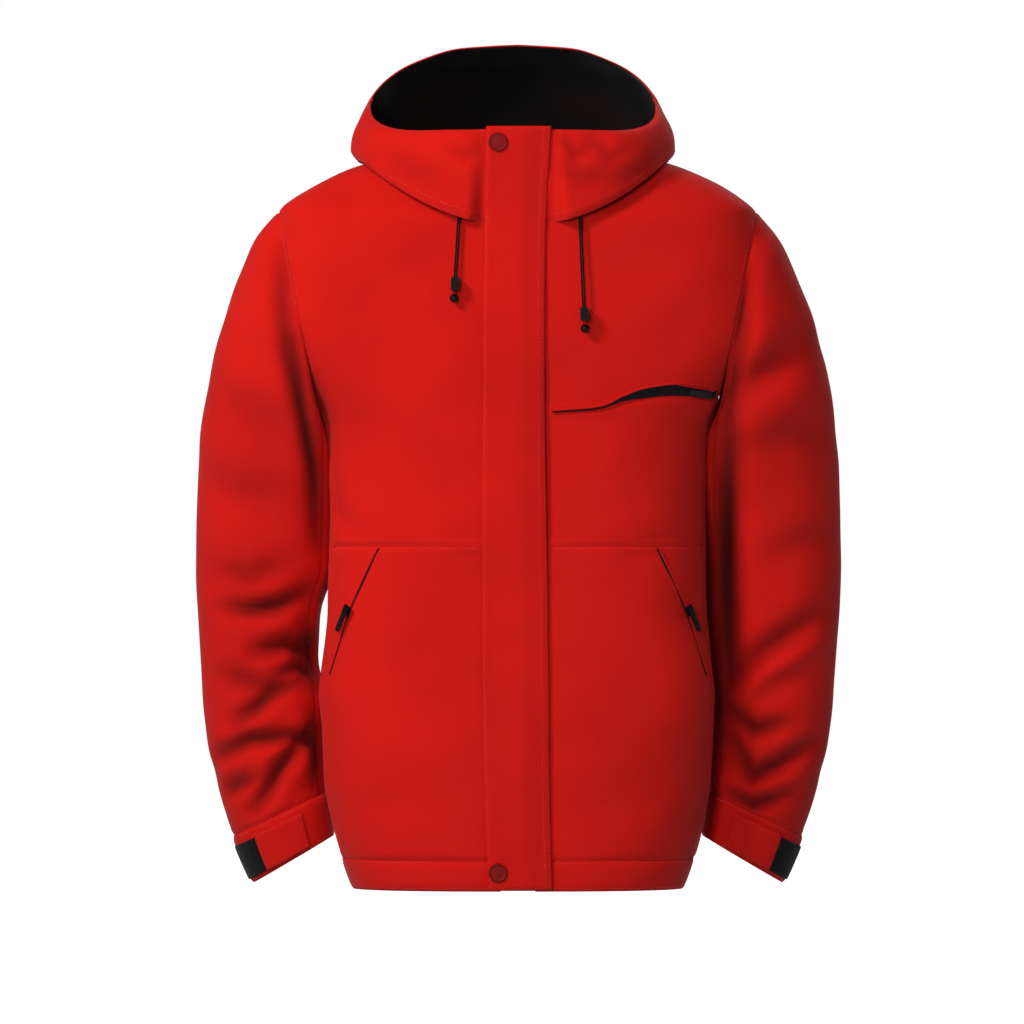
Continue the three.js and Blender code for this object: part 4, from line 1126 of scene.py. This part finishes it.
@dataclass
class Hood:
    """The hood's front halves and crown, and the collar inside it.

    Attributes:
        swells, folds, crown_folds: the cloth's unevenness and creases.
        hinge: not used.
            blend_from, blend_to: not used.
        facing_run, collar_run: first angle and turn of the facing and of the collar.
        facing_tuck: how far inside the neckline and the lower edge the facing's edges lie, as shares.
        collar_tuck: the same for the collar's foot. collar_top: the collar's half width, depths and height.
    """

    swells: tuple[Swell, ...] = (Swell(1.6, 70, 31, 0.8), Swell(0.5, 30, 33, 0.8))
    folds: tuple[Fold, ...] = (
        Fold(((48, 742), (58, 730), (72, 736)), 6, 2.6),
        Fold(((76, 744), (92, 728), (112, 734)), 7, 2.8),
        Fold(((40, 716), (70, 706), (104, 716)), 10, 2.2),
        Fold(((-38, 734), (-52, 728), (-66, 735)), 7, 2.0),
        Fold(((-70, 700), (-100, 712), (-128, 730)), 14, 2.2),
        Fold(((90, 700), (124, 716), (146, 738)), 12, 2.4),
    )
    crown_folds: tuple[Fold, ...] = (
        Fold(((-90, 700), (0, 684), (90, 700)), 16, 5.0, 1),
        Fold(((-110, 770), (-30, 752), (60, 766)), 20, 4.0, 1),
        Fold(((30, 800), (90, 780), (128, 740)), 16, 3.6, 1),
        Fold(((-40, 812), (-96, 790), (-126, 744)), 16, 3.6, 1),
    )
    hinge: tuple[float, float, float] = (0.0, 5.0, 782.0)
    blend_from: float = 8.0
    blend_to: float = 110.0
    facing_run: tuple[float, float] = (12.0, 88.0)
    facing_tuck: tuple[float, float] = (0.985, 0.965)
    collar_run: tuple[float, float] = (9.0, 342.0)
    collar_tuck: float = 0.93
    collar_top: tuple[float, float, float, float] = (86.0, 107.0, 46.0, 750.0)

    def front(self, side: Side) -> Panel:
        """One front half, which leans over to the wearer's right as it goes back."""
        def spot(u: Grid, v: Grid) -> Grid:
            """From the zip to the crown's seam, and from the lower edge to the rim."""
            lean = (0.0 if side is Side.LEFT else 2 * HOOD.lean) * smooth(u, 0.0, 1.0)
            return HOOD.front(u, v) * side.turn + np.array([1.0, 0, 0]) * lean[..., None]
        name = f"hood_front_{side.tag}"
        return Panel(name, (name,), spot, spacing=2.8, flip=side is Side.RIGHT, folds=self.folds,
                     swells=self.swells, mid_y=0.0, roll=(1.6, 3.0), thick=1.6)

    def follow(self, piece: bpy.types.Object) -> None:
        """Bakes a piece's placement into its points, and leaves it on no body."""
        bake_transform(piece)

    def build(self) -> None:
        """Builds the hood and collar."""
        rows = Stitching("hood_stitching")
        for side in Side:
            panel = self.front(side)
            sew(panel)
            rows.run(panel, Edge.LOW_V, 3.0, 9.0)
            rows.run(panel, Edge.HIGH_V, 3.0)
        crown = Panel("hood_crown", ("hood_crown",), HOOD.crown, spacing=3.6, folds=self.crown_folds,
                      swells=self.swells, mid_y=60.0, roll=(1.2, 3.0), thick=1.6, body="hood")
        piece = crown.build()
        self.follow(piece)
        crown_rows = Stitching("hood_rim_stitching")
        crown_rows.run(crown, Edge.HIGH_V, 3.0)
        self.follow(dress(crown_rows.stitches(), None))
        self.collar()
        for side in Side:
            self.facing(side)
        rows.build()

    def facing(self, side: Side) -> None:
        """The black facing that joins the hood's lower edge to the neckline inside."""
        body = Body()
        at_neck, at_hem = (np.array([share, share, 1]) for share in self.facing_tuck)

        def spot(u: Grid, v: Grid) -> Grid:
            """From the zip to the shoulder, and from the neckline out to the hood's edge."""
            angle = self.facing_run[0] + self.facing_run[1] * u
            low = BODY.point(angle, body.neck(angle) - 5) * at_neck
            high = HOOD.hem_point(angle) * at_hem + np.array([0, 0, 9.0])
            return (low + (high - low) * v[..., None]) * side.turn
        sew(Panel(f"hood_facing_{side.tag}", (), spot, spacing=5.0, flip=side is Side.RIGHT, thick=1.0,
                  outside=TRICOT))

    def collar(self) -> None:
        """The soft black stand inside the hood."""
        body = Body()
        half, front, back, top = self.collar_top

        def spot(u: Grid, v: Grid) -> Grid:
            """From zip round the neck to zip, and up."""
            angle = self.collar_run[0] + self.collar_run[1] * u
            turn = np.where(angle > 180, 360 - angle, angle)
            low = BODY.point(angle, body.neck(turn) - 14) * np.array([self.collar_tuck, self.collar_tuck, 1])
            x, y = ring(angle, half, front, back)
            high = np.stack(np.broadcast_arrays(x, y, top + 0 * x), axis=-1)
            return low + (high - low) * v[..., None]
        sew(Panel("collar_stand", ("collar_stand",), spot, spacing=4.0, swells=(Swell(0.8, 50, 41),), thick=1.8,
                  outside=TRICOT))


# ---------------------------------------------------------------- storm flap and snaps
@dataclass
class StormFlap:
    """The outer flap over the main zip, with its two snap caps.

    Attributes:
        top, foot: its heights. lift, sewn_lift: how far it stands off the zip, and at its sewn edge.
        cap_radius: the caps' size. socket_behind: how far under a cap its socket's ring sits.
        caps: each cap's place, across and up. edges: height, free edge x and sewn edge x.
    """

    top: float = 758.0
    foot: float = 1.0
    lift: float = 7.6
    sewn_lift: float = 3.2
    cap_radius: float = 9.5
    socket_behind: float = 2.3
    caps: dict[str, tuple[float, float]] = field(
        default_factory=lambda: {"top": (-20.0, 742.0), "bottom": (-20.0, 19.0)})
    edges: Track = Track(((0, -28.5, 34.0), (90, -33, 31.5), (210, -35.5, 30.5), (340, -35.5, 29.0),
                          (470, -35.2, 26.5), (600, -34.0, 26.5), (680, -32.8, 27.8), (758, -31.5, 33.0)), 30.0)

    def spot(self, u: Grid, v: Grid) -> Grid:
        """A point of the flap's outer face: it slopes down to the chest at its sewn edge."""
        z = self.foot + (self.top - self.foot) * v
        free, sewn = self.edges.at(z)
        x = free + (sewn - free) * u
        lift = self.sewn_lift + (self.lift - self.sewn_lift) * (1 - smooth(u, 0.55, 1.0))
        return np.stack(np.broadcast_arrays(x, ZIP_PLANE_Y - lift, z), axis=-1)

    def build(self) -> None:
        """Builds the flap, its stitching and its caps."""
        flap = Panel("storm_flap", ("storm_flap",), self.spot, spacing=2.8, body="storm_flap", thick=1.8,
                     roll=(1.5, 2.2), swells=(Swell(0.5, 90, 51, 3.0), Swell(0.25, 34, 52, 1.5)))
        sew(flap)
        rows = Stitching("storm_flap_stitching", body="storm_flap")
        rows.run(flap, Edge.HIGH_U, 2.2, 7.4)
        rows.run(flap, Edge.LOW_U, 2.4)
        rows.run(flap, Edge.LOW_V, 2.4)
        rows.run(flap, Edge.HIGH_V, 2.4)
        rows.build()
        for name, place in self.caps.items():
            self.cap(f"snap_cap_{name}", *place)

    def cap(self, name: str, x: float, z: float) -> None:
        """A pressed cap with a raised rim and a shallow dish."""
        r = self.cap_radius
        profile = [(r - 0.4, -1.2), (r, -0.4), (r, 0.9), (r - 0.35, 1.6), (r - 0.9, 1.95), (r - 1.5, 1.8),
                   (r - 2.0, 1.35), (r - 2.8, 1.2), (r - 5.0, 1.45), (r - 8.0, 1.6), (0.01, 1.62)]
        base = ZIP_PLANE_Y - self.lift - 0.5
        lathe(f"{name}_pressed", profile, np.array([x, base, z]), LACQUER, "storm_flap", (name,))
        ring_profile = [(2.6, -0.2), (2.8, -1.1), (3.4, -1.6), (5.4, -1.6), (6.0, -1.0), (6.0, 0.0), (2.6, 0.0)]
        inside = np.array([x, base + self.socket_behind, z])
        lathe(f"{name}_socket", ring_profile, inside, NICKEL, "storm_flap", ())


def lathe(name: str, profile: Sequence[tuple[float, float]], centre: Grid, finish: Hard, body: str,
          nodes: tuple[str, ...], sides: int = 48) -> bpy.types.Object:
    """A turned piece whose axis runs out of the chest.

    Args:
        name: the piece. profile: radius and height pairs, foot first, with the outside on their right.
        centre: its foot, in millimetres. sides: points round it.
        finish, body, nodes: its material, body and the CAD nodes it stands for.

    Returns:
        The piece.
    """
    turns = np.arange(sides) * 2 * np.pi / sides
    points = [centre + [r * np.cos(t), -h, r * np.sin(t)] for r, h in profile for t in turns]
    piece = mesh_object(name, np.array(points), ring_faces(len(profile), sides), [finish.material()])
    return dress(piece, body, nodes)


# ---------------------------------------------------------------- pockets
@dataclass
class PocketLine:
    """A zipped pocket: a black zip in a slit, with a red lip along it.

    Attributes:
        name, side: the zip. path: x and z of its line, on the wearer's left.
        widths: share of its length and width there. lip_radius, lip_side: the lip, and which side it is on.
        crown, rise, thick: how much the strip is arched, how proud it lies, and its thickness.
    """

    name: str
    side: Side
    path: tuple[tuple[float, float], ...]
    widths: tuple[tuple[float, float], ...]
    lip_radius: float = 1.5
    lip_side: int = 1
    crown: float = 0.5
    rise: float = 0.7
    thick: float = 1.0

    def centre(self, t: Grid) -> Grid:
        """Points of the zip's line on the body."""
        line = np.array(self.path, float)
        knots = [np.broadcast_to(p, (*np.shape(t), 2)) for p in line]
        flat = catmull(knots, np.asarray(t)) if np.ndim(t) == 2 else catmull(
            [k[None] for k in knots], np.asarray(t)[None])[0]
        return BODY.front_point(flat[..., 0] * self.side.value, flat[..., 1])

    def edges(self, t: Grid) -> tuple[Grid, Grid, Grid]:
        """The line's points, the way across it, and the way out of the cloth."""
        middle = self.centre(t)
        along = np.gradient(middle, axis=0)
        along /= np.linalg.norm(along, axis=-1, keepdims=True)
        x, z = middle[:, 0], middle[:, 2]
        east = BODY.front_point(x + 0.5, z) - BODY.front_point(x - 0.5, z)
        north = BODY.front_point(x, z + 0.5) - BODY.front_point(x, z - 0.5)
        out = np.cross(east, north)
        out /= np.linalg.norm(out, axis=-1, keepdims=True)
        across = np.cross(out, along)
        across /= np.linalg.norm(across, axis=-1, keepdims=True)
        return middle, across, out

    def build(self) -> None:
        """Builds the zip strip and its lip."""
        t = np.linspace(0, 1, 80)
        middle, across, out = self.edges(t)
        stations = np.array(self.widths, float)
        width = np.interp(t, stations[:, 0], stations[:, 1])[:, None]
        shares = np.linspace(-0.5, 0.5, 7)
        strip = np.stack([middle + across * width * s + out * (self.rise + self.crown * (1 - (2 * s) ** 2))
                          for s in shares], axis=0)
        back = strip - out[None] * self.thick
        points = np.concatenate([strip.reshape(-1, 3), back.reshape(-1, 3)])
        faces = np.concatenate(sheet_faces(*strip.shape[:2]))
        dress(mesh_object(f"{self.name}_strip", points, faces, [TAPE.material()]), "jacket",
              (self.name,))
        edge = middle + across * (width / 2 + self.lip_radius * 0.7) * self.lip_side + out * 0.5
        tube(f"{self.name}_lip", edge, self.lip_radius, FACE, "jacket")


def tube(name: str, line: Grid, radius: float, finish: Cloth | Hard, body: str, sides: int = 12,
         nodes: tuple[str, ...] = ()) -> bpy.types.Object:
    """A round bar along a line, with domed ends.

    Args:
        name: the piece. line: its middle, in millimetres. radius: its size. finish: what it wears.
        body, nodes: what it rides on and stands for. sides: points round it.

    Returns:
        The piece.
    """
    line = np.asarray(line, float)
    along = np.gradient(line, axis=0)
    along /= np.linalg.norm(along, axis=-1, keepdims=True)
    side = np.cross(along, [0.3, 1.0, 0.1])
    side /= np.linalg.norm(side, axis=-1, keepdims=True)
    over = np.cross(along, side)
    taper = np.ones(len(line))
    taper[[0, -1]] = 0.25
    turns = np.arange(sides) * 2 * np.pi / sides
    points = np.concatenate([
        line[k] + radius * taper[k] * (np.cos(turns)[:, None] * side[k] + np.sin(turns)[:, None] * over[k])
        for k in range(len(line))])
    piece = mesh_object(name, points, ring_faces(len(line), sides), [finish.material()])
    return dress(piece, body, nodes)


# ---------------------------------------------------------------- drawcords
@dataclass
class Drawcords:
    """Two strands a side from under the hood's hem down to a cord end.

    Attributes:
        diameter: one strand's. spread: between the strands of a pair. steps: points along a strand.
        lines: top and foot of each pair.
    """

    diameter: float = 1.8
    spread: float = 2.1
    steps: int = 24
    lines: dict[str, tuple[Place, Place]] = field(default_factory=lambda: {
        "right": ((-58, -124.8, 674), (-63, -127.4, 592)),
        "left": ((61, -124.8, 677), (66, -127.4, 562)),
    })

    def build(self) -> None:
        for name, (top, foot) in self.lines.items():
            for tag, offset in (("a", -self.spread / 2), ("b", self.spread / 2)):
                shares = np.linspace(0, 1, self.steps)[:, None]
                line = np.array(top) + (np.array(foot) - np.array(top)) * shares + np.array([offset, 0, 0])
                node = f"hood_cord_{name}_{tag}"
                piece = tube(f"{node}_braid", line, self.diameter / 2, BRAID, "jacket", nodes=(node,))


# ---------------------------------------------------------------- small CAD nodes that stay
NODE_FINISHES: dict[str, Cloth | Hard] = {
    "main_slider": BLACK_ZINC, "main_pull": BLACK_ZINC, "hand_slider_right": BLACK_ZINC,
    "hand_slider_left": BLACK_ZINC, "hand_pull_right": BLACK_ZINC, "hand_pull_left": BLACK_ZINC,
    "chest_slider": BLACK_ZINC, "chest_pull": BLACK_ZINC, "zip_retainer_box": BLACK_ZINC,
    "zip_tape_right": TAPE, "zip_tape_left": TAPE, "zip_guard": TRICOT, "hand_pocket_bag_right": TRICOT,
    "hand_pocket_bag_left": TRICOT, "chest_pocket_bag": TRICOT, "hanger_loop": TAPE,
    "snap_stud_top": NICKEL, "snap_stud_bottom": NICKEL,
    "cord_eyelet_right": NICKEL, "cord_eyelet_left": NICKEL,
    "cord_lock_right": ACETAL, "cord_lock_left": ACETAL, "lock_plunger_right": ACETAL,
    "lock_plunger_left": ACETAL, "cord_end_right": ACETAL, "cord_end_left": ACETAL,
}


def dress_nodes() -> None:
    """Gives the CAD nodes that stay their finishes."""
    for name, finish in NODE_FINISHES.items():
        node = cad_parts[name]
        for slot in node.material_slots:
            slot.material = finish.material()
        LOG.info("%s: %s", name, finish.name)


# ---------------------------------------------------------------- studio
WHITE = (1.0, 1.0, 1.0, 1.0)


@dataclass
class Studio:
    """Camera, lights, floor and backdrop, in metres.

    Attributes:
        distance, framed_width, sensor: how far off the camera is, what it frames there, and its film in mm.
        aim_x, aim_z_from_hem: where it looks. floor_below_hem: how far down the floor lies.
        reach, wall_y, wall_half, wall_top: the floor's half size, and the backdrop's place and size.
    """

    distance: float = 12.0
    framed_width: float = 1.024
    sensor: float = 36.0
    aim_x: float = -0.006
    aim_z_from_hem: float = 0.376
    floor_below_hem: float = 0.2
    reach: float = 30.0
    wall_y: float = 16.0
    wall_half: float = 15.0
    wall_top: float = 9.0

    def build(self) -> None:
        """Sets the whole studio."""
        scene = bpy.context.scene
        scene.view_settings.view_transform = "Standard"
        camera = bpy.data.objects.new("camera", bpy.data.cameras.new("camera"))
        camera.data.sensor_width = self.sensor
        camera.data.lens = self.sensor * self.distance / self.framed_width
        camera.location = (self.aim_x, SHIFT[1] - self.distance, SHIFT[2] + self.aim_z_from_hem)
        camera.rotation_euler = (np.pi / 2, 0, 0)
        scene.collection.objects.link(camera)
        scene.camera = camera
        world = bpy.data.worlds.new("studio")
        scene.world = world
        world.use_nodes = True
        sky = world.node_tree.nodes["Background"]
        sky.inputs["Color"].default_value = WHITE
        sky.inputs["Strength"].default_value = 0.18
        self.softbox("key", (-1.9, -2.0, 1.6), (0.0, 0, -0.35), 0.7, 74)
        self.softbox("front", (-0.7, -3.6, 0.35), (0.05, 0, -0.45), 0.8, 60)
        self.softbox("back", (1.2, 2.6, 1.6), (0, 0, -0.35), 1.4, 40)
        self.ground()

    def softbox(self, name: str, place: tuple[float, float, float], target: tuple[float, float, float],
                size: float, power: float) -> None:
        """One square area light.

        Args:
            name: the light. place, target: where it stands and what it is aimed at.
            size: its side in metres. power: in watts.
        """
        data = bpy.data.lights.new(name, "AREA")
        data.size, data.energy = size, power
        light = bpy.data.objects.new(name, data)
        light.location = place
        aim = Vector(target) - Vector(place)
        light.rotation_euler = aim.to_track_quat("-Z", "Y").to_euler()
        bpy.context.scene.collection.objects.link(light)

    def ground(self) -> None:
        """A pale floor and a glowing white backdrop."""
        z = SHIFT[2] - self.floor_below_hem
        far = self.reach
        floor = self.plane("floor", [(-far, -far, z), (far, -far, z), (far, far, z), (-far, far, z)])
        material, tree, output = start_material("pale_paper")
        fibre = add_node(tree, "ShaderNodeTexNoise", {"Scale": 40.0, "Detail": 3.0})
        bump = add_node(tree, "ShaderNodeBump", {"Distance": 0.0003}, {"Height": fibre.outputs[0]})
        shader = add_node(tree, "ShaderNodeBsdfPrincipled",
                          {"Base Color": linear("#f6f6f6"), "Roughness": 0.9,
                           "Emission Color": WHITE, "Emission Strength": 1.0}, {"Normal": bump.outputs[0]})
        tree.links.new(shader.outputs[0], output.inputs[0])
        floor.data.materials.append(material)
        floor.visible_diffuse = False
        half, y, top = self.wall_half, self.wall_y, self.wall_top
        wall = self.plane("backdrop", [(-half, y, z), (half, y, z), (half, y, top), (-half, y, top)])
        glow, tree, output = start_material("white_backdrop")
        light = add_node(tree, "ShaderNodeEmission", {"Color": WHITE, "Strength": 1.0})
        tree.links.new(light.outputs[0], output.inputs[0])
        wall.data.materials.append(glow)
        wall.visible_diffuse = wall.visible_glossy = False

    def plane(self, name: str, corners: list[tuple[float, float, float]]) -> bpy.types.Object:
        """One flat stage piece."""
        mesh = bpy.data.meshes.new(name)
        mesh.from_pydata(corners, [], [(0, 1, 2, 3)])
        piece = bpy.data.objects.new(name, mesh)
        bpy.context.scene.collection.objects.link(piece)
        return piece


# share of a pocket zip's length, and its width there in millimetres
HAND_WIDTHS = ((0.0, 1.2), (0.1, 2.2), (0.5, 2.6), (0.62, 1.4), (1.0, 1.0))
CHEST_WIDTHS = ((0.0, 1.4), (0.3, 2.2), (0.42, 4.6), (0.55, 8.5), (0.8, 11.5), (0.97, 10.5), (1.0, 8.0))


# x and z along each pocket's zip, on the wearer's left
HAND_PATH = ((138, 340), (166, 278), (187, 214))
CHEST_PATH = ((34, 475), (80, 479), (104, 488), (128, 494), (160, 497), (196, 493))


def main() -> None:
    """Builds the jacket in order."""
    Studio().build()
    Drawcords().build()
    Body().build()
    Sleeves().build()
    Hood().build()
    StormFlap().build()
    for side in Side:
        PocketLine(f"hand_pocket_zip_{side.tag}", side, HAND_PATH, HAND_WIDTHS, lip_radius=1.2,
                   lip_side=side.value).build()
    PocketLine("chest_pocket_zip", Side.LEFT, CHEST_PATH, CHEST_WIDTHS, lip_radius=1.3).build()
    dress_nodes()


if __name__ == "__main__":
    main()
